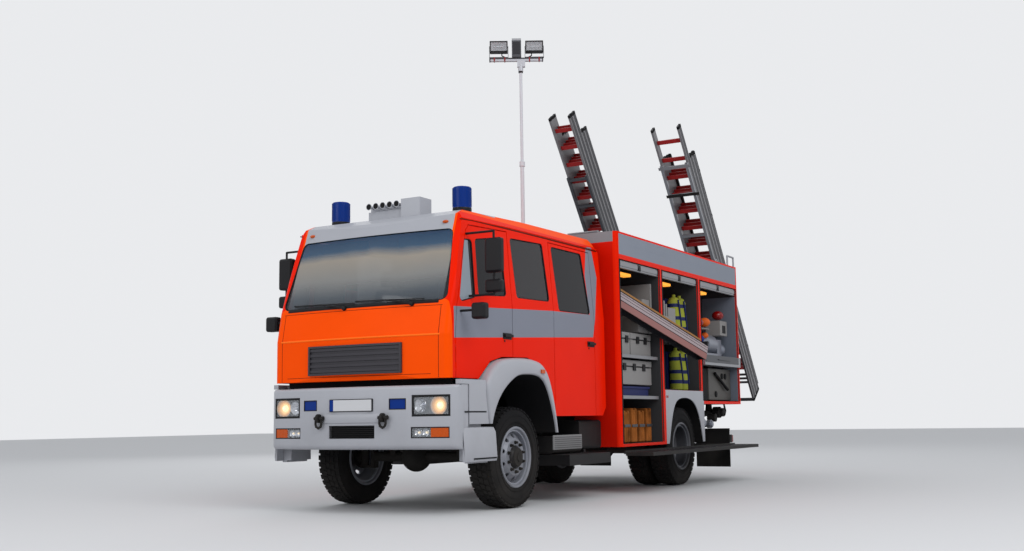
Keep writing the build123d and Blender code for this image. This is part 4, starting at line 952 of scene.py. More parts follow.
def door_fittings():
    """Recessed black grips with their locks, and the doors' hinges."""
    doors = (
        ("driver_door", 0.13, 1.79, 1.131, (1.42, 1.66)),
        ("crew_door", -1.86, 1.80, -0.929, (1.12, 2.0)),
    )
    for side, sign in sides:
        for door, x, z, hinge, heights in doors:
            y = flank(x, z)[1]
            grip, hinges = Shape(sign), Shape(sign)
            grip.box(around(x, 0.09), (y - 0.004, y + 0.006), (z - 0.035, z + 0.03))
            grip.box(around(x, 0.085), (y + 0.012, y + 0.032), (z - 0.012, z + 0.016))
            for end in (x - 0.075, x + 0.06):
                grip.box((end, end + 0.015), (y, y + 0.014), (z - 0.01, z + 0.014))
            grip.lathe((x + 0.06, y + 0.003, z - 0.055), outwards, ((0, 0.012), (0.006, 0.011)), 16)
            grip.piece(f"{door}_handle_{side}", "black_plastic", f"{door}_{side}", bevel=0.004)
            for low in heights:
                hinges.rod((hinge, y - 0.0005, low), (hinge, y - 0.0005, low + 0.06), 0.009, 12)
            hinges.piece(f"{door}_hinges_{side}", "cab_paint", f"{door}_{side}", smooth=True)


def wipers():
    """Black cowl strip and two wipers parked along the foot of the windscreen."""
    shape = Shape().tube([nose(y / 20, 2.082, -0.012) for y in range(-19, 20)], 0.022, 8)
    for pivot, start, end in ((0.66, -0.02, 0.8), (-0.16, -0.86, -0.02)):
        base = Vector(nose(pivot, 2.07, 0.012))
        low, high = Vector(nose(start, 2.135, 0.028)), Vector(nose(end, 2.115, 0.028))
        middle = (low + high) / 2
        elbow = base + (middle - base) * 0.5 + Vector((0.018, 0, 0))
        cap = ((0, 0.028), (0.03, 0.024), (0.038, 0.012))
        shape.lathe(base - Vector((0.02, 0, 0)), (1, 0, 0.2), cap, 16)
        shape.tube([base, elbow, middle + Vector((0.012, 0, 0))], 0.0085, 8)
        steps = [low + (high - low) * k / 6 for k in range(7)]
        shape.tube([nose(p.y, p.z, 0.022) for p in steps], 0.007, 6)
        shape.tube([nose(p.y, p.z - 0.012, 0.014) for p in steps], 0.0035, 6)
    shape.piece("wipers", "black_plastic", smooth=True)


def arch_sheet(points, hub, thickness, y):
    """Rings of a thin sheet along an arch, its thickness away from the hub, between two Y values."""
    rings = []
    for x, z in points:
        reach = math.dist((x, z), hub)
        dx, dz = (x - hub[0]) / reach * thickness, (z - hub[1]) / reach * thickness
        rings.append([(x, y[0], z), (x, y[1], z), (x + dx, y[1], z + dz), (x + dx, y[0], z + dz)])
    return rings


def front_flares():
    """Rounded white flares round the front wheels, with black liners inside them."""
    outer = [(0.64, 0.88), (0.69, 1.18), (0.688, 1.318), (0.47, 1.505), (0.24, 1.556)]
    outer += [(-0.29, 1.568), (-0.56, 1.5), (-0.72, 1.21), (-0.81, 0.77)]
    inner = [(0.61, 0.88), (0.52, 1.06), (0.38, 1.215), (0.15, 1.35), (-0.02, 1.395)]
    inner += [(-0.44, 1.39), (-0.61, 1.22), (-0.735, 0.93), (-0.775, 0.77)]
    outer, inner = evenly(eased(outer), 56), evenly(eased(inner), 56)
    # Rounded edges of the flare: at most this far from the edge, at most this share of its width, and Y
    outer_edge = ((0.010, 0.08, 1.176), (0.030, 0.22, 1.193), (0.055, 0.4, 1.2))
    inner_edge = ((0.022, 0.2, 1.2), (0.006, 0.06, 1.195))
    wall = 1.052
    flares, liners = Shape(), Shape()
    for sign in both:
        rings = []
        for (xo, zo), (xi, zi) in zip(outer, inner):
            width = math.dist((xo, zo), (xi, zi))
            section = [(0, wall), (0, 1.15)]
            section += [(min(most, share * width), y) for most, share, y in outer_edge]
            section += [(width - min(most, share * width), y) for most, share, y in inner_edge]
            section += [(width, 1.182), (width, wall)]
            dx, dz = (xi - xo) / width, (zi - zo) / width
            rings.append([(xo + dx * s, sign * y, zo + dz * s) for s, y in section])
        flares.skin(rings)
        liners.skin(arch_sheet(inner, (-0.03, 0.8), -0.006, (sign * 0.62, sign * 1.175)))
    shown = flares.piece("wheel_arch_flares", "white_plastic", smooth=True, angle=50)
    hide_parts("front_arches")
    liners.piece("front_wheel_liners", "rubber", smooth=True, angle=50)


def rear_flares():
    """White rear arch panels with a rolled lip, and the mudguards behind them."""
    curve = [(-0.755, 0.57), (-0.63, 0.97), (-0.36, 1.185), (0.175, 1.185), (0.36, 1.01), (0.51, 0.57)]
    curve = [(x + rear_axle, z) for x, z in evenly(eased(curve), 40)]
    outline = curve + [(-3.771, 0.57), (-3.771, 1.279), (-5.179, 1.279), (-5.179, 0.57)]
    guard = []
    for x, z in curve:
        dx, dz = x - rear_axle, z - tyre_radius
        reach = max(math.hypot(dx, dz), 0.578) / math.hypot(dx, dz)
        guard.append((rear_axle + dx * reach, tyre_radius + dz * reach))
    panels, guards = Shape(), Shape()
    for sign in both:
        panels.on(sign).plate(outline, (1.238, 1.2505))
        panels.tube([(x, 1.246, z) for x, z in curve], 0.0085, 8)
        guards.skin(arch_sheet(guard, (rear_axle, tyre_radius), 0.006, (sign * 0.6, sign * 1.234)))
        guards.on(sign).plate([(x, z) for x, z in guard if z > 0.95], (0.594, 0.599))
    shown = panels.piece("rear_arch_panels", "white_plastic", smooth=True, angle=35)
    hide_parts("rear_arches")
    guards.piece("rear_mudguards", "rubber", smooth=True, angle=35)


def cab_room():
    """Seats with head rests, dashboard, steering wheel and sun visors, seen through the glass."""
    seats = Shape()
    for y in (0.6, -0.6):
        seats.box((-0.06, 0.42), around(y, 0.24), (1.63, 1.77))
        rings = []
        for x, z, half in ((-0.09, 1.76, 0.24), (-0.12, 2.1, 0.25), (-0.17, 2.42, 0.2)):
            corners = ((-0.05, -half), (0.05, -half), (0.05, half), (-0.05, half))
            rings.append([(x + dx, y + dy, z) for dx, dy in corners])
        seats.skin(rings)
        seats.box((-0.2, -0.11), around(y, 0.13), (2.45, 2.63))
    for y in (-0.75, -0.25, 0.25, 0.75):
        seats.box((-2.05, -1.62), around(y, 0.22), (1.42, 1.5))
        seats.box((-2.15, -2.04), around(y, 0.22), (1.5, 2.15))
        seats.box((-2.15, -2.06), around(y, 0.13), (2.2, 2.36))
    shown = seats.piece("seats", "seat_cloth", bevel=0.03)
    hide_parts("cab_interior")
    dash = Shape().plate([(0.78, 1.66), (1.2, 1.66), (1.2, 2.0), (0.95, 2.045), (0.8, 1.98)], (-0.95, 0.95))
    dash.box((0.72, 0.8), (0.32, 0.9), (1.9, 2.0))
    dash.piece("dashboard", "cab_trim", bevel=0.015)
    hub, axis = Vector((0.56, 0.6, 1.98)), Vector((0.55, 0, 0.83)).normalized()
    ring = [hub + spoke * 0.23 for spoke in spokes(axis, 40)]
    wheel = Shape().tube(ring + ring[:1], 0.016, 8)
    for spoke in spokes(axis, 3, 0.5):
        wheel.rod(hub, hub + spoke * 0.225, 0.012, 8)
    wheel.lathe(hub - axis * 0.03, axis, ((0, 0.05), (0.03, 0.06), (0.045, 0.045)), 20)
    wheel.rod(hub - axis * 0.28, hub, 0.03, 12)
    wheel.piece("steering_wheel", "black_plastic", smooth=True)
    floor = Shape().boxes(
        ((-0.4, 0.2), (-0.5, 0.5), (1.63, 1.7)),
        ((-2.06, -1.62), (-0.9, 0.9), (1.115, 1.42)),
        *(((0.80, 0.82), around(y, 0.3), (2.72, 2.84)) for y in (0.5, -0.5)),
    )
    floor.piece("cab_floor_boxes", "cab_trim", bevel=0.01)


def roof_and_plate():
    """Marker lamps at the roof's front corners, and the blank number plate with its blue end and frame."""
    for side, sign in sides:
        lamp = Shape().ball(nose(sign * 0.86, 2.92, -0.004), 0.034, 0.55, 20)
        lamp.piece(f"roof_lamp_{side}", "amber_lens", smooth=True)
    x = bumper_x(0)
    for name, finish, bevel, depth, y, z in (
        ("plate_frame", "black_plastic", 0.002, (-0.01, 0.008), (-0.268, 0.268), (1.017, 1.143)),
        ("plate", "plate_face", 0.001, (0.006, 0.011), (-0.215, 0.26), (1.025, 1.135)),
        ("plate_band", "blue_lens", 0.0005, (0.006, 0.011), (-0.26, -0.2152), (1.025, 1.135)),
    ):
        Shape().box((x + depth[0], x + depth[1]), y, z).piece(name, finish, bevel=bevel)


def bow_bar(shape, y, z, depth):
    """Bar that follows the bumper's bow: pairs of y and z, and its (back, front) below the face."""
    rings = []
    for k in range(6):
        level = shape.side * (y[0] + (y[1] - y[0]) * k / 5)
        far, near = (bumper_x(level) - inset for inset in depth)
        rings.append([(far, level, z[0]), (near, level, z[0]), (near, level, z[1]), (far, level, z[1])])
    shape.skin(rings)


def bow_frame(shape, y, z, width, depth):
    """Frame of four bars that follow the bumper's bow."""
    bow_bar(shape, y, (z[0], z[0] + width), depth)
    bow_bar(shape, y, (z[1] - width, z[1]), depth)
    bow_bar(shape, (y[0], y[0] + width), z, depth)
    bow_bar(shape, (y[1] - width, y[1]), z, depth)


def dish(shape, centre, radius, depth):
    """Thin reflector bowl that opens forwards."""
    steps = [k / 8 for k in range(9)]
    inner = [(depth * s * s, radius * max(s, 0.12)) for s in steps]
    outer = [(along - 0.002, reach + 0.002) for along, reach in reversed(inner)]
    shape.lathe(centre, forwards, inner + outer, 36, closed=True)


def head_lamps():
    """Beds, bowls, bulbs, lenses and frames in the bumper's openings."""
    shapes = [Shape() for _ in range(7)]
    beds, frames, silver, lit, bulbs, lenses, ambers = shapes
    for sign in both:
        for shape in shapes:
            shape.on(sign)
        bow_bar(beds, (0.704, 1.096), (0.964, 1.166), (0.0595, 0.057))
        bow_bar(beds, (0.694, 0.9), (0.754, 0.856), (0.0595, 0.05))
        bow_frame(frames, (0.702, 1.098), (0.962, 1.168), 0.02, (0.05, 0.002))
        bow_frame(frames, (0.692, 1.088), (0.752, 0.858), 0.009, (0.05, 0.002))
        bow_frame(frames, (0.451, 0.639), (1.031, 1.139), 0.008, (0.03, -0.001))
        for y, bowls, radius, lights, size in (
            (lamp_y, lit, 0.094, bulbs, 0.03),
            (0.782, silver, 0.066, silver, 0.02),
        ):
            x = bumper_x(y) - 0.052
            dish(bowls, (x, y, lamp_z), radius, 0.036)
            lights.ball((x + 0.014, y, lamp_z), size, 1.0, 20)
            bow_bar(beds, around(y, 0.004), (0.984, 1.146), (0.056, 0.05))
        for y in (0.755, 0.835):
            x = bumper_x(y) - 0.046
            dish(silver, (x, y, 0.805), 0.038, 0.024)
            bulbs.ball((x + 0.01, y, 0.805), 0.009, 1.0, 12)
        bow_bar(lenses, (0.72, 1.08), (0.98, 1.15), (0.01, 0.005))
        bow_bar(lenses, (0.70, 0.896), (0.76, 0.85), (0.01, 0.005))
        bow_bar(ambers, (0.898, 1.081), (0.759, 0.851), (0.03, 0.0045))
        for k in range(7):
            y = 0.91 + 0.025 * k
            bow_bar(ambers, (y, y + 0.008), (0.765, 0.845), (0.01, 0.0025))
    beds.piece("lamp_beds", "drawer_face", smooth=True)
    frames.piece("lamp_frames", "black_plastic", smooth=True, angle=30)
    silver.piece("lamp_bowls", "chrome", smooth=True)
    lit.piece("lit_lamp_bowls", "warm_lamp", smooth=True)
    bulbs.piece("lamp_bulbs", "lamp_bulb", smooth=True)
    glass = lenses.piece("lamp_lenses", "clear_lens", slot="clear_lens")
    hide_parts("head_lamps")
    ambers.piece("front_amber_lenses", "amber_lens", smooth=True, angle=30)


def towing_gear():
    """Two lugs in the bumper's face and the shackles that hang in them."""
    lugs, shackles = Shape(), Shape()
    lug = ((-0.012, 0.022), (-0.012, 0.045), (0.012, 0.045), (0.012, 0.022))
    lug_z = 0.955
    x = cad_bounds[1][0] - axle_x - 0.045
    for y in (-0.4, 0.4):
        lugs.lathe((1.382, y, lug_z), outwards, lug, 28, closed=True)
        lugs.box((1.29, 1.352), around(y, 0.012), around(lug_z, 0.025))
        shackles.rod((x, y - 0.052, lug_z), (x, y + 0.05, lug_z), 0.0165)
        shackles.rod((x, y + 0.05, lug_z), (x, y + 0.062, lug_z), 0.024, 6)
        bow = [(-0.034, lug_z), (-0.038, 0.9), (-0.03, 0.872), (0, 0.856)]
        bow += [(-dy, z) for dy, z in reversed(bow[:3])]
        shackles.tube([(x, y + dy, z) for dy, z in bow], 0.012)
    lugs.piece("towing_lugs", "cast_iron", smooth=True, angle=30)
    shackles.piece("tow_shackles", "cast_iron", smooth=True)


def rounded_bumper():
    """White bumper with rounded edges and ends, its lamp windows and intake cut in, and its swelling."""
    half, turn = 1.174, 0.075
    flat = half - turn
    ends = [flat + turn * math.sin(math.radians(a)) for a in (15, 30, 45, 58, 70, 80, 90)]
    levels = [-y for y in reversed(ends)] + [k * flat / 12 for k in range(-12, 13)] + ends
    rings = []
    for y in levels:
        over = max(abs(y) - flat, 0) / turn
        front = bumper_x(y) - turn * (1 - math.sqrt(max(1 - over * over, 0)))
        ring = [(1.035, y, 0.64)]
        for radius, centre, first in ((0.05, 0.69, -90), (0.035, 1.23, 0)):
            for k in range(7):
                angle = math.radians(first + 15 * k)
                ring.append((front - radius + radius * math.cos(angle), y, centre + radius * math.sin(angle)))
        rings.append(ring + [(1.035, y, 1.265)])
    windows = (((0.70, 1.10), (0.96, 1.17)), ((0.69, 1.09), (0.75, 0.86)), ((0.45, 0.64), (1.03, 1.14)))
    solid, cutter = Shape().skin(rings), Shape()
    for sign in both:
        cutter.on(sign)
        for y, z in windows:
            bow_bar(cutter, y, z, (0.06, -0.03))
    cutter.on(1).box((1.29, 1.42), (-0.285, 0.285), (0.75, 0.88))
    shown = finished("rounded_bumper", carved(solid, cutter), "bumper_paint", smooth=True, angle=32)
    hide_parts("bumper")
    rings = []
    for k in range(-8, 9):
        y = k * 0.045
        front = bumper_x(y)
        rise = 0.016 * min(1, (0.36 - abs(y)) / 0.03 + 0.15)
        section = ((-0.01, 0.90), (rise * 0.7, 0.908), (rise, 0.93), (rise, 0.975))
        section += ((rise * 0.6, 0.992), (-0.01, 1.0))
        rings.append([(front + dx, y, z) for dx, z in section])
    Shape().skin(rings).piece("bumper_swell", "white_plastic", smooth=True, angle=50)


def bumper_details():
    """Intake slats, and a black sheet behind the gap over the bumper as painted shade."""
    x = bumper_x(0.2)
    back = Shape().box((x - 0.05, x - 0.045), (-0.28, 0.28), (0.755, 0.875))
    back.piece("intake_back", "seal_rubber")
    slat = Shape().box((x - 0.045, x - 0.012), (-0.283, 0.283), (0.765, 0.771))
    slat.repeated("intake_slats", "black_plastic", 6, step=(0, 0, 0.02))
    # Black sheet behind the gap between cab and bumper: painted shade
    Shape().box((1.08, 1.1), (-1.03, 1.03), (0.98, 1.42)).piece("radiator_screen", "seal_rubber")


def beacon_details():
    """Bases and ribs of the two beacons, and the horns' dark mouths."""
    mouths = Shape()
    for y in (-0.205, -0.115, -0.025, 0.065, 0.155):
        mouths.lathe((0.8, y, 3.2), forwards, ((0.0004, 0.03), (0.0016, 0.03), (0.0018, 0.02)), 24)
    mouths.piece("horn_mouths", "seal_rubber")
    x, ribs = 0.52, 36
    for side, sign in sides:
        y = sign * 0.8
        ring = ((0, 0.098), (0.045, 0.101), (0.06, 0.101), (0.064, 0.085))
        base = Shape().lathe((x, y, 3.06), upwards, ring, 40)
        base.piece(f"beacon_base_{side}", "black_plastic", smooth=True)
        rib = Shape().box(around(x, 0.003), (y + 0.098, y + 0.1025), (3.14, 3.335))
        rib.repeated(f"beacon_ribs_{side}", "blue_lens", ribs, turn=(0, 0, full_turn / ribs), pivot=(x, y, 0))


# Locker body

bays = ((-2.42, -3.66, 0.60), (-3.77, -5.06, 1.28), (-5.18, -6.70, 1.14))


def shutters():
    """Raised shutters, guide rails and lamps of the side lockers, and the closed rear shutter."""
    for side, sign in sides:
        for number, (front, rear, floor) in enumerate(bays, 1):
            end = f"{number}_{side}"
            middle = (front + rear) / 2
            rails, latch, guides = Shape(sign), Shape(sign), Shape(sign)
            for x in ((rear + 0.03, middle - 0.05), (middle + 0.05, front - 0.03)):
                rails.box(x, (1.198, 1.243), (2.80, 2.858))
            rails.piece(f"shutter_rail_{end}", "shutter_slat", bevel=0.006)
            latch.box(around(middle, 0.05), (1.2, 1.24), (2.79, 2.866))
            latch.box(around(middle, 0.025), (1.24, 1.247), (2.80, 2.83))
            for low in (rear + 0.001, front - 0.029):
                latch.box((low, low + 0.028), (1.2, 1.244), (2.79, 2.87))
            latch.piece(f"shutter_latch_{end}", "black_plastic", bevel=0.003)
            slat = Shape(sign).box((rear + 0.002, front - 0.002), (1.1935, 1.2), (2.868, 2.892))
            slat.repeated(f"shutter_slats_{end}", "shutter_slat", 3, step=(0, 0, 0.027), bevel=0.003)
            for x in ((rear - 0.027, rear + 0.002), (front - 0.002, front + 0.027)):
                guides.box(x, (1.249, 1.2525), (floor + 0.005, 2.885))
            guides.piece(f"shutter_guides_{end}", "seal_rubber", bevel=0.001)
            light = Shape(sign).box((front - 0.72, front - 0.28), (0.96, 1.08), (2.735, 2.775))
            light.piece(f"locker_light_{end}", "locker_lamp", bevel=0.012)
    outline = ((-6.741, 1.11), (-6.745, 1.117), (-6.745, 1.138), (-6.741, 1.145))
    slat = Shape().plate(outline, (-0.6, 0.6))
    slat.repeated("rear_shutter_slats", "shutter_slat", 48, step=(0, 0, 0.04))
    bar = Shape().box((-6.756, -6.74), (-0.58, 0.58), (1.1, 1.15))
    bar.lathe((-6.775, -0.3, 1.22), outwards, ((0, 0.012), (0.6, 0.012)), 12)
    bar.piece("rear_shutter_bar", "aluminium", bevel=0.003)


def front_locker(side, sign):
    """Cases with lids and latches, a navy crate and rolled hoses."""
    cases, latches, lids = Shape(sign), Shape(sign), Shape(sign)
    for low, high, foot, top, places in (
        (-3.6, -2.47, 1.335, 1.65, (-0.3, 0, 0.3)),
        (-2.93, -2.47, 1.71, 2.0, (-0.12, 0.12)),
        (-3.6, -2.96, 1.71, 2.0, (-0.12, 0.12)),
    ):
        middle = (low + high) / 2
        cases.box((low, high), (0.72, 1.13), (foot, top - 0.085))
        lids.box((low - 0.004, high + 0.004), (0.716, 1.134), (top - 0.08, top))
        for place in places:
            latches.box(around(middle + place, 0.04), (1.125, 1.146), (top - 0.135, top - 0.045))
        latches.box((low + 0.06, high - 0.06), (1.13, 1.138), (top - 0.09, top - 0.078))
    shown = cases.piece(f"cases_{side}", "white_case", bevel=0.012)
    if sign > 0:
        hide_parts("equipment")
    lids.piece(f"case_lids_{side}", "white_case", bevel=0.012)
    latches.piece(f"case_latches_{side}", "black_plastic", bevel=0.004)
    crate = Shape(sign).box((-3.5, -2.5), (0.7, 1.12), (1.195, 1.3))
    crate.box((-3.52, -2.48), (0.69, 1.135), (1.285, 1.315))
    crate.piece(f"navy_crate_{side}", "navy_plastic", bevel=0.006)
    hoses, straps = Shape(sign), Shape(sign)
    for number in range(5):
        x = -2.58 - 0.23 * number
        for fold in range(3):
            low = x - 0.085 + fold * 0.055
            top = 1.04 - 0.02 * (fold % 2) - 0.03 * (number % 2)
            hoses.box((low, low + 0.049), (0.74, 1.12), (0.605, top))
        straps.box((x - 0.09, x + 0.08), (1.119, 1.124), (0.8, 0.835))
    hoses.piece(f"hose_packs_{side}", "hose_cloth", bevel=0.02)
    straps.piece(f"hose_straps_{side}", "drawer_face", bevel=0.002)


def middle_locker(side, sign):
    """Breathing sets in lime covers, and white boards and boxes."""
    bottle = ((0, 0.07), (0.02, 0.088), (0.5, 0.088), (0.55, 0.06), (0.565, 0.025), (0.6, 0.025))
    bottles, straps = Shape(sign), Shape(sign)
    for x in (-4.72, -4.93):
        for z in (2.04, 1.285):
            bottles.lathe((x, 1.02, z + 0.002), upwards, bottle, 28)
            for height in (0.1, 0.24, 0.42):
                straps.lathe((x, 1.02, z + height), upwards, ((0, 0.091), (0.05, 0.091)), 28)
            straps.box(around(x, 0.1), (0.9, 0.93), (z + 0.01, z + 0.55))
            strap = ((x - 0.05, 1.11, z + 0.1), (x + 0.01, 1.118, z + 0.3), (x + 0.05, 1.11, z + 0.52))
            straps.tube(strap, 0.012, 8)
    bottles.piece(f"air_bottles_{side}", "lime_cover", smooth=True)
    straps.piece(f"bottle_straps_{side}", "navy_plastic", smooth=True)
    boards = Shape(sign)
    for k in range(5):
        boards.box(around(-3.86 - k * 0.075, 0.018), (0.75, 1.14), (2.02, 2.62 - 0.04 * k))
    boards.boxes(
        ((-4.45, -3.82), (1.12, 1.15), (2.2, 2.29)),
        ((-4.5, -4.24), (0.8, 1.13), (2.02, 2.42)),
        ((-3.6, -3.56), (0.7, 1.16), (2.02, 2.68)),
        ((-3.54, -3.3), (0.9, 1.15), (2.3, 2.46)),
        ((-3.54, -3.24), (0.85, 1.12), (2.02, 2.24)),
    )
    boards.piece(f"white_boards_{side}", "white_case", bevel=0.004)


def rear_locker(side, sign):
    """Pump panel with levers and gauges, generator, coloured gear, boxes and a drawer."""
    wall = Shape(sign).box((-6.699, -6.685), (0.7, 1.236), (1.15, 2.76))
    wall.piece(f"locker_rear_wall_{side}", "locker_wall")
    panel = Shape(sign).box((-6.67, -5.72), (0.72, 1.13), (1.16, 1.63))
    panel.piece(f"pump_panel_{side}", "pump_panel", bevel=0.01)
    levers = Shape(sign).tube([(-5.93, 1.15, 1.56), (-6.42, 1.17, 1.32)], 0.022)
    levers.box((-5.62, -5.46), (0.8, 1.14), (1.15, 1.62))
    for x, z in ((-6.42, 1.52), (-6.28, 1.52), (-6.0, 1.25)):
        levers.lathe((x, 1.13, z), outwards, ((0, 0.045), (0.012, 0.045), (0.014, 0.035)), 24)
    levers.piece(f"pump_levers_{side}", "seal_rubber", bevel=0.003)
    drum = ((-0.24, 0.10), (-0.22, 0.15), (0.12, 0.15), (0.16, 0.11), (0.24, 0.1))
    gear = Shape(sign).lathe((-5.95, 0.98, 2.0), forwards, drum)
    gear.box((-6.2, -5.68), (0.8, 1.12), (1.805, 1.86))
    gear.box((-6.4, -6.22), (0.85, 1.1), (1.805, 2.08))
    gear.ball((-6.5, 1.0, 1.93), 0.12, 0.9, 20)
    gear.ball((-5.55, 1.02, 1.92), 0.12, 0.9, 20)
    gear.piece(f"generator_{side}", "silver_gear", bevel=0.006)
    for finish, name, balls in (
        ("red_lens", "red_gear", ((-5.6, 2.3, 0.07), (-6.42, 2.46, 0.09), (-5.4, 2.06, 0.06))),
        ("blue_gear", "blue_gear", ((-5.36, 2.3, 0.08), (-5.62, 2.06, 0.07), (-5.44, 2.5, 0.07))),
        ("orange_gear", "orange_gear", ((-5.84, 2.32, 0.085), (-5.82, 2.12, 0.06))),
    ):
        shape = Shape(sign)
        for x, z, radius in balls:
            shape.ball((x, 1.05, z), radius, 0.8, 20)
        shape.piece(f"{name}_{side}", finish, smooth=True)
    for name, finish, bevel, boxes in (
        (
            "white_box",
            "white_case",
            0.01,
            (((-6.57, -6.27), (0.9, 1.14), (2.14, 2.37)), ((-5.8, -5.2), (0.8, 1.14), (2.2, 2.22))),
        ),
        (
            "box_bands",
            "black_plastic",
            0.002,
            (((-6.49, -6.35), (0.898, 1.144), (2.18, 2.3)), ((-4.6, -4.15), (0.85, 1.1), (1.285, 1.3))),
        ),
        (
            "drawer_front",
            "drawer_face",
            0.004,
            (((-6.6, -5.2), (1.285, 1.298), (1.7, 1.805)), ((-6.2, -5.7), (1.298, 1.312), (1.74, 1.755))),
        ),
    ):
        Shape(sign).boxes(*boxes).piece(f"{name}_{side}", finish, bevel=bevel)


def locker_gear():
    """What lies in the side lockers, and the white lips along the front lockers' shelves."""
    for side, sign in sides:
        front_locker(side, sign)
        middle_locker(side, sign)
        rear_locker(side, sign)
        lips = Shape(sign)
        for x, z in (((-3.655, -2.425), 1.165), ((-3.655, -2.425), 1.68), ((-5.055, -3.775), 1.96)):
            lips.box(x, (1.188, 1.2), (z - 0.012, z + 0.03))
        lips.piece(f"shelf_lips_{side}", "shutter_slat", bevel=0.002)


# Tray, mast and ladders

tray_pivot = Vector((-2.5, 1.03, 2.42))
tray_yaw, tray_pitch = math.radians(15), math.radians(19)
tray_out = Vector((math.sin(tray_yaw), math.cos(tray_yaw), 0))
tray_level = math.cos(tray_pitch)
tray_down = (-math.cos(tray_yaw) * tray_level, math.sin(tray_yaw) * tray_level, -math.sin(tray_pitch))
tray_down = Vector(tray_down)
tray_up = tray_out.cross(tray_down)
tray_ends, tray_half = (0.04, 2.08), 0.079


def tray_point(along, out, up):
    """Point in the tray's own directions: down its length, outwards, and up from its floor."""
    return tray_pivot + tray_down * along + tray_out * out + tray_up * up


def tray():
    """Sloping tray: white outer wall with dark lines and a pale red band, tan boards, dark inner rim."""
    inset = (0.042, 2.078)
    boards = [((0.1, 1.95), (first, first + 0.026), (0.03, 0.19)) for first in (-0.05, -0.018, 0.014)]
    rows = (
        ("tray_outer_wall", "tray_wall_paint", 0.003, [(tray_ends, (0.068, 0.08), (0.034, 0.13))]),
        ("tray_band", "tray_band_paint", 0.003, [(tray_ends, (0.067, 0.081), (-0.06, 0.025))]),
        (
            "tray_line",
            "seal_rubber",
            0.0,
            [
                (inset, (0.069, 0.078), (0.024, 0.036)),
                (inset, (0.079, 0.0808), (0.07, 0.076)),
                (inset, (0.079, 0.0808), (0.104, 0.11)),
                (inset, (0.07, 0.081), (0.129, 0.141)),
            ],
        ),
        ("tray_deck", "tray_deck_board", 0.004, [((0.04, 2.07), (-0.068, 0.068), (0.001, 0.03)), *boards]),
        (
            "tray_rim",
            "dark_metal",
            0.003,
            [
                (tray_ends, (-0.08, -0.066), (-0.06, 0.225)),
                (tray_ends, (-tray_half, tray_half), (-0.012, 0.0)),
                ((-0.016, 0.08), (-0.03, 0.03), (-0.016, 0.016)),
                ((0.0, 0.02), (-0.03, -0.02), (-0.016, 0.03)),
            ],
        ),
        ("tray_end", "dark_metal", 0.004, [((2.05, 2.08), (-tray_half, tray_half), (-0.058, 0.2))]),
    )
    shown = [
        Shape().boxes(*boxes, point=tray_point).piece(name, finish, "side_tray", bevel=bevel)
        for name, finish, bevel, boxes in rows
    ]
    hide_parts("side_tray")
    bolt = Shape().lathe(tray_point(0.2, 0.081, 0.119), tray_out, ((-0.002, 0.006), (0.002, 0.006)), 6)
    bolt.repeated("tray_bolts", "bright_steel", 10, "side_tray", step=tuple(tray_down * 0.2))


mast_place = Vector((-2.5, -0.165, 0))
head_ahead = Vector((math.cos(math.radians(30)), math.sin(math.radians(30)), 0))
head_beam = Vector((-head_ahead.y, head_ahead.x, 0))


def head_point(ahead, beam, z):
    """Point on the turned mast head: forwards of its beam, along the beam, and its height."""
    return mast_place + head_ahead * ahead + head_beam * beam + Vector((0, 0, z))


def mast_collars():
    """Black collars of the mast's base and of its top."""
    x, y = mast_place.x, mast_place.y
    ring = ((0, 0.0365), (0, 0.052), (0.012, 0.056), (0.07, 0.056), (0.08, 0.048), (0.08, 0.0365))
    base = Shape().lathe((x, y, 3.235), upwards, ring, closed=True)
    base.piece("mast_base_collar", "black_plastic", smooth=True)
    ring = ((0, 0.0203), (0.002, 0.03), (0.018, 0.03), (0.02, 0.0203))
    tip = Shape().lathe((x, y, 5.512), upwards, ring, 28, closed=True)
    tip.piece("mast_top_collar", "black_plastic", "mast_stage_2", smooth=True)


def mast_head():
    """Clamps, end covers and cables on the mast's head."""
    clamps, covers, cables = Shape(), Shape(), Shape()
    for beam in (-0.36, -0.22, 0.11, 0.24):
        clamps.box((-0.03, 0.03), (beam, beam + 0.018), (5.668, 5.724), head_point)
    clamps.piece("beam_clamps", "red_lens", "mast_head", bevel=0.003)
    for beam in (-0.418, 0.288):
        covers.box((-0.028, 0.028), (beam, beam + 0.015), (5.67, 5.721), head_point)
    covers.box((0.046, 0.05), (-0.1, -0.005), (5.76, 5.93), head_point)
    covers.piece("head_box_cover", "dark_metal", "mast_head", bevel=0.003)
    for first, second in ((-0.06, -0.25), (-0.02, 0.15)):
        middle = (first + second) / 2
        route = ((-0.046, first, 5.76), (-0.085, first, 5.75), (-0.095, middle, 5.735))
        route += ((-0.085, second, 5.78), (-0.056, second, 5.81))
        cables.tube([head_point(*point) for point in route], 0.007, 8)
    cables.piece("head_cables", "seal_rubber", "mast_head", smooth=True)


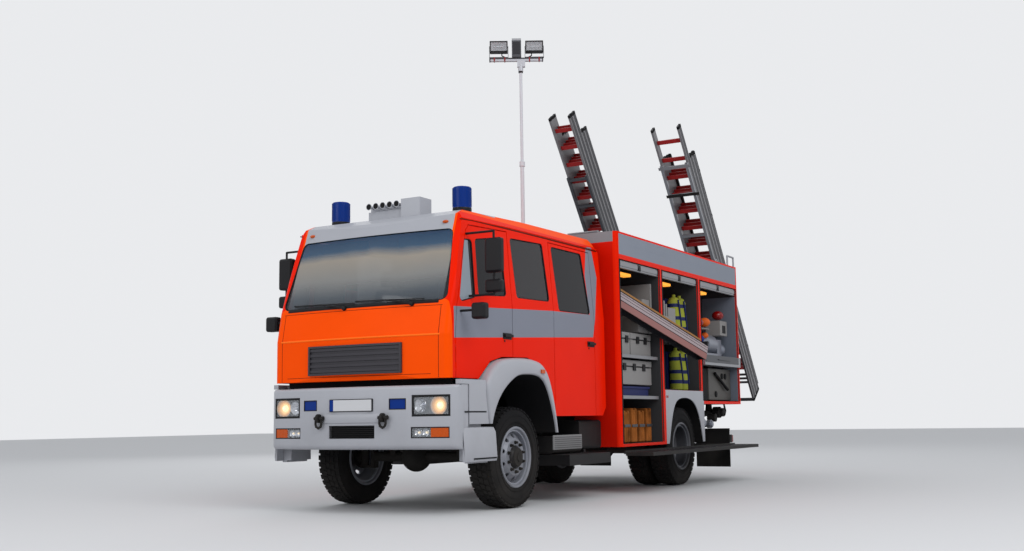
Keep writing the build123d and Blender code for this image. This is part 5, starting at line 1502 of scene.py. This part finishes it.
def floodlights():
    """Two floodlights with cases, frames, fins, glass, reflectors and tubes."""
    lights = (-0.29, 0.185)
    centre, half_height, half_width, frame_width = 5.868, 0.075, 0.12, 0.014
    square = ((-1, -1), (1, -1), (1, 1), (-1, 1))
    low, high = around(centre, half_height)
    cases, glasses, backs, tubes = (Shape() for _ in range(4))
    for middle in lights:
        left, right = around(middle, half_width)
        cases.boxes(
            ((-0.055, 0.02), (left, right), (low, high)),
            ((0.018, 0.055), (left, right), (low, low + frame_width)),
            ((0.018, 0.055), (left, right), (high - frame_width, high)),
            ((0.018, 0.055), (left, left + frame_width), (low, high)),
            ((0.018, 0.055), (right - frame_width, right), (low, high)),
            point=head_point,
        )
        pin = around(middle, 0.1215)
        cases.rod(head_point(0, pin[0], centre), head_point(0, pin[1], centre), 0.008)
        glasses.box((0.044, 0.048), (left + 0.013, right - 0.013), (low + 0.013, high - 0.013), head_point)
        outer, inner = (
            [(middle + wide * across, centre + tall * up) for across, up in square]
            for wide, tall in ((half_width - frame_width, half_height - frame_width), (0.06, 0.02))
        )
        rings = ((0.043, outer), (0.0225, inner), (0.0205, inner), (0.0205, outer))
        backs.skin([[head_point(ahead, b, z) for b, z in corners] for ahead, corners in rings], closed=True)
        backs.box((0.0205, 0.0225), around(middle, 0.06), around(centre, 0.02), head_point)
        tube = around(middle, 0.065)
        tubes.rod(head_point(0.032, tube[0], centre), head_point(0.032, tube[1], centre), 0.007)
    shown = cases.piece("floodlight_cases", "black_plastic", "floodlights", bevel=0.004)
    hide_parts("floodlights")
    glasses.piece("floodlight_glass", "clear_lens", "floodlights")
    backs.piece("floodlight_reflectors", "lamp_reflector", "floodlights")
    tubes.piece("floodlight_tubes", "plate_face", "floodlights", smooth=True)
    for number, middle in enumerate(lights, 1):
        height, step = (high - 0.001, high + 0.006), tuple(head_beam * 0.0103)
        fin = Shape().box((-0.0548, 0.01), (middle - 0.1, middle - 0.097), height, head_point)
        fin.repeated(f"floodlight_fins_{number}", "black_plastic", 20, "floodlights", step=step)


def ladder_pack(side, centre, width, tops):
    """Rail flanges, end caps, guide brackets, rung treads and the foot bar of one pack."""
    body = f"ladders_{side}"
    low, high = around(centre, width / 2)
    caps, flanges = Shape(), Shape()
    for number, top in enumerate(tops):
        out = first_section + number * section_pitch
        thickness = (out - 0.001, out + section_depth + 0.001)
        for y in (low, high - 0.03):
            for along in ((ladder_foot, ladder_foot + 0.05), (top - 0.045, top)):
                caps.box(along, (y - 0.003, y + 0.033), thickness, rack_point)
            outward = (y - 0.003, y) if y == low else (y + 0.03, y + 0.033)
            for edge in (out + 0.003, out + section_depth - 0.015):
                flanges.box((ladder_foot + 0.05, top - 0.045), outward, (edge, edge + 0.012), rack_point)
    caps.piece(f"ladder_caps_{side}", "rubber", body, bevel=0.003)
    flanges.piece(f"ladder_flanges_{side}", "rail_flange", body)
    stack = first_section + len(tops) * section_pitch
    across, thickness = (low - 0.004, high + 0.004), (stack - 0.007, stack + 0.0005)
    brackets = Shape().boxes(*(((a, a + 0.05), across, thickness) for a in (-1.3, -2.2)), point=rack_point)
    brackets.piece(f"ladder_brackets_{side}", "dark_metal", body, bevel=0.002)
    along, thickness = (ladder_foot, ladder_foot + 0.045), (first_section - 0.001, first_section + 0.035)
    foot = Shape().box(along, (low - 0.003, high + 0.003), thickness, rack_point)
    foot.piece(f"ladder_foot_bar_{side}", "dark_metal", body, bevel=0.004)
    rung_pitch, start = 0.3, tops[0] - 0.24
    section = ((-0.034, -0.0155), (0.034, -0.0155), (0.028, 0.016), (-0.028, 0.016))
    for number, top in enumerate(tops):
        level = first_section + section_depth / 2 + number * section_pitch
        first = start - rung_pitch * max(math.ceil((start - top + 0.1) / rung_pitch), 0)
        ends = (low + 0.0305, high - 0.0305)
        rung = Shape().skin([[rack_point(first + da, y, level + do) for da, do in section] for y in ends])
        step = tuple(rack_along * -rung_pitch)
        count = int((first + 2.6) / rung_pitch)
        rung.repeated(f"rung_treads_{number}_{side}", "rung_tread", count, body, step=step, bevel=0.004)


def ladder_details():
    """Details of both packs, the left rack's cross bars and the bands of the left pack's support poles."""
    for side, (centre, width, tops) in packs.items():
        ladder_pack(side, centre, width, tops)
    centre, width, tops = packs["left"]
    low, high = around(centre, width / 2)
    for name, finish, along, end in (
        ("ladder_bar", "shutter_slat", (1.68, 1.73), 0.03),
        ("ladder_clamp_bar", "cast_iron", (1.2, 1.25), 0.06),
    ):
        bar = Shape().box(along, (low - 0.03, high + end), (-0.026, -0.0222), rack_point)
        bar.piece(name, finish, "ladder_rack_left", bevel=0.0015)
    poles = Shape()
    out = first_section + len(tops) * section_pitch + 0.032
    cap = ((-0.004, 0.0325), (0.0, 0.0325), (0.012, 0.029), (0.02, 0.02), (0.024, 0.008))
    band = ((0, 0.0325), (0.004, 0.035), (0.036, 0.035), (0.04, 0.0325))
    for y in (low + 0.032, high - 0.032):
        poles.lathe(rack_point(tops[1] - 0.06, y, out), rack_along, cap, 24)
        for along in (-1.9, -0.6, 0.6, 1.4):
            poles.lathe(rack_point(along, y, out), rack_along, band, 24)
    poles.piece("support_pole_bands", "rubber", "ladders_left", smooth=True)


# Roof, rear and underbody


def roof_details():
    """Walkway plates, boxes and the ladder rest on the body's roof."""
    Shape().box((-6.65, -2.62), (-0.5, 0.3), (3.121, 3.126)).piece("roof_walkway", "aluminium", bevel=0.001)
    rib = Shape().box((-6.6, -6.58), (-0.48, 0.28), (3.126, 3.130))
    rib.repeated("roof_walkway_ribs", "aluminium", 57, step=(0.07, 0, 0))
    boxes = Shape().box(around(-3.6, 0.95), around(0.75, 0.25), (3.121, 3.165))
    boxes.box(around(-3.6, 0.8), around(-0.9, 0.2), (3.121, 3.165))
    boxes.piece("roof_boxes", "aluminium", bevel=0.01)
    route = ((0.52, 3.24), (0.52, 3.262), (0.93, 3.262), (0.93, 3.24))
    rest = Shape().tube([(-2.47, y, z) for y, z in route], 0.015)
    rest.piece("ladder_rest", "shutter_slat", smooth=True)


def rear_details():
    """Rear face trims, grab rails and lamps, and the red markers on the rear arch panels."""
    trims, lenses, ambers = Shape(), Shape(), Shape()
    for side, sign in sides:
        for shape in (trims, lenses, ambers):
            shape.on(sign)
        trims.box((-6.764, -6.758), (0.615, 0.64), (1.11, 3.08))
        trims.tube([(-6.775, 0.7, 1.3), (-6.80, 0.7, 1.35), (-6.80, 0.7, 2.7), (-6.775, 0.7, 2.75)], 0.014)
        lenses.box((-6.652, -6.64), (0.99, 1.06), (0.54, 0.62))
        lenses.box((-6.766, -6.76), (1.0, 1.12), (1.2, 1.28))
        ambers.box((-6.652, -6.64), (1.07, 1.14), (0.54, 0.62))
        ambers.box((-6.766, -6.76), (1.0, 1.12), (2.95, 3.05))
        marker = Shape(sign).box((-3.86, -3.79), (1.2495, 1.256), (1.175, 1.205))
        marker.piece(f"arch_marker_{side}", "red_lens", bevel=0.004)
    trims.piece("rear_trims", "aluminium", smooth=True)
    lenses.piece("rear_lenses", "red_lens", bevel=0.004)
    ambers.piece("rear_ambers", "amber_lens", bevel=0.004)


def step_details():
    """Grip treads and edge strips of the fold-down steps, and shells of the cab's steps."""
    for side, sign in sides:
        grip = Shape(sign).box((-6.35, -6.335), (1.32, 1.62), (0.4995, 0.5035))
        grip.repeated(f"step_grips_{side}", "dark_metal", 130, f"step_board_{side}", step=(0.03, 0, 0))
        edge = Shape(sign).box((-6.358, -2.402), (1.626, 1.6395), (0.462, 0.504))
        edge.piece(f"step_edge_{side}", "frame_paint", f"step_board_{side}", bevel=0.004)
        rings = []
        for x, inset in ((0.58, 0.02), (0.6, 0.004), (0.66, 0.0), (1.02, 0.0), (1.09, 0.02), (1.13, 0.05)):
            face = ((1.238, 0.515), (1.246, 0.56), (1.23, 0.8), (1.206, 0.845))
            outline = [(1.165, 0.515)] + [(y - inset, z) for y, z in face] + [(1.165, 0.85)]
            rings.append([(x, sign * y, z) for y, z in outline])
        Shape().skin(rings).piece(f"cab_step_shell_{side}", "white_plastic", bevel=0.012, angle=30)
        slots = Shape(sign).box((0.70, 1.1), (1.176, 1.1818), (0.992, 1.006))
        slots.box((0.62, 1.04), (1.24, 1.2475), (0.538, 0.552))
        slots.piece(f"cab_step_lines_{side}", "seal_rubber")


def underbody():
    """Brake pipes, outlet caps, battery cover and pump valves below the frame."""
    pipes, caps, valves = Shape(), Shape(), Shape()
    cap = ((0, 0.062), (0.012, 0.062), (0.014, 0.05), (0.03, 0.046), (0.034, 0.02))
    large_valve = ((0, 0.085), (0.1, 0.085), (0.12, 0.065), (0.16, 0.065), (0.165, 0.05))
    small_valve = ((0, 0.06), (0.12, 0.06), (0.125, 0.045))
    for sign in both:
        for shape in (pipes, caps, valves):
            shape.on(sign)
        for y, radius, route in (
            (0.34, 0.012, ((0.9, 0.86), (-1.0, 0.86), (-1.2, 0.82), (-6.3, 0.82))),
            (0.31, 0.008, ((0.9, 0.9), (-1.0, 0.9), (-1.3, 0.92), (-6.3, 0.92))),
        ):
            pipes.tube([(x, y, z) for x, z in route], radius, 8)
        for x, z in ((-5.45, 0.83), (-5.75, 0.81)):
            caps.lathe((x, 1.128, z), outwards, cap, 28)
            for ear in (x - 0.084, x + 0.046):
                caps.box((ear, ear + 0.036), (1.1, 1.145), around(z, 0.02))
        valves.lathe((-6.3, 0.98, 0.98), outwards, large_valve, 28)
        valves.lathe((-6.05, 0.98, 0.9), outwards, small_valve, 24)
        valves.tube([(-6.3, 0.9, 1.1), (-6.3, 0.9, 0.98), (-5.8, 0.85, 0.92), (-5.3, 0.85, 1.05)], 0.045, 12)
        valves.tube([(-6.42, 1.1, 1.1), (-6.42, 1.12, 1.0), (-6.3, 1.15, 0.94)], 0.014, 8)
    pipes.piece("brake_pipes", "seal_rubber", smooth=True)
    caps.piece("outlet_caps", "silver_gear", bevel=0.003)
    valves.piece("pump_valves", "cast_iron", smooth=True)
    rib = Shape().box((-1.63, -0.97), (1.056, 1.064), (0.593, 0.597))
    rib.repeated("battery_cover_ribs", "dark_metal", 6, step=(0, 0, 0.023))
    cover = Shape().box((-1.655, -0.945), (1.044, 1.058), (0.572, 0.735))
    cover.piece("battery_cover", "case_plastic", bevel=0.003)


# Studio


def camera():
    """Camera where the photograph was taken from."""
    position = Vector((axle_x + 10.7568, 7.2784, 0.9254))
    yaw, pitch, roll = math.radians(209.897), math.radians(6.981), math.radians(-0.805)
    ahead = Vector((math.cos(yaw) * math.cos(pitch), math.sin(yaw) * math.cos(pitch), math.sin(pitch)))
    right = Vector((math.sin(yaw), -math.cos(yaw), 0))
    up = right.cross(ahead)
    rolled = right * math.cos(roll) + up * math.sin(roll)
    upright = up * math.cos(roll) - right * math.sin(roll)
    data = bpy.data.cameras.new("camera")
    data.sensor_width = 36
    data.lens = 41.14
    data.clip_end = 200
    eye = linked("camera", data)
    turn = Matrix((rolled, upright, -ahead)).transposed().to_4x4()
    eye.matrix_world = Matrix.Translation(position) @ turn
    bpy.context.scene.camera = eye


def lamp(name, position, size, power):
    """Soft area lamp aimed at the middle of the vehicle."""
    data = bpy.data.lights.new(name, "AREA")
    data.size = size
    data.energy = power
    obj = linked(name, data)
    obj.location = position
    obj.rotation_euler = (Vector((0, 0, 1.5)) - Vector(position)).to_track_quat("-Z", "Y").to_euler()


def studio():
    """Pale floor, plain world and soft lamps."""
    bpy.context.scene.view_settings.view_transform = "Standard"
    world = bpy.data.worlds.new("studio")
    bpy.context.scene.world = world
    world.use_nodes = True
    tree = world.node_tree
    light = tree.nodes["Background"]
    light.inputs["Color"].default_value = (0.95, 0.97, 1.0, 1)
    light.inputs["Strength"].default_value = 0.7
    seen = added(tree, "ShaderNodeBackground", {"Color": (0.82, 0.83, 0.85, 1), "Strength": 1.0})
    path = added(tree, "ShaderNodeLightPath").outputs
    ray = calc(tree, "MAXIMUM", path["Is Camera Ray"], path["Is Glossy Ray"])
    ray = calc(tree, "MAXIMUM", ray, path["Is Transmission Ray"])
    mix = added(tree, "ShaderNodeMixShader", {0: ray, 1: light.outputs[0], 2: seen.outputs[0]})
    tree.links.new(mix.outputs[0], tree.nodes["World Output"].inputs["Surface"])
    reach = 60
    corners = [(-reach, -reach, 0), (reach, -reach, 0), (reach, reach, 0), (-reach, reach, 0)]
    floor = bpy.data.meshes.new("floor")
    floor.from_pydata(corners, [], [(0, 1, 2, 3)])
    floor.materials.append(plain("floor", (205, 206, 208), 0.9))
    linked("floor", floor)
    lamp("key", (9, 12, 11), 9, 1000)
    lamp("front", (16, -4, 7), 8, 400)
    lamp("back", (-12, -10, 10), 9, 500)


clear_scene()
make_paints()
dress_nodes()
window_seals()
cab_seams()
door_fittings()
wipers()
cab_room()
roof_and_plate()
head_lamps()
rounded_bumper()
towing_gear()
bumper_details()
beacon_details()
front_flares()
rear_flares()
wheel_details()
shutters()
locker_gear()
tray()
mast_collars()
mast_head()
floodlights()
ladder_details()
roof_details()
rear_details()
step_details()
underbody()
camera()
studio()
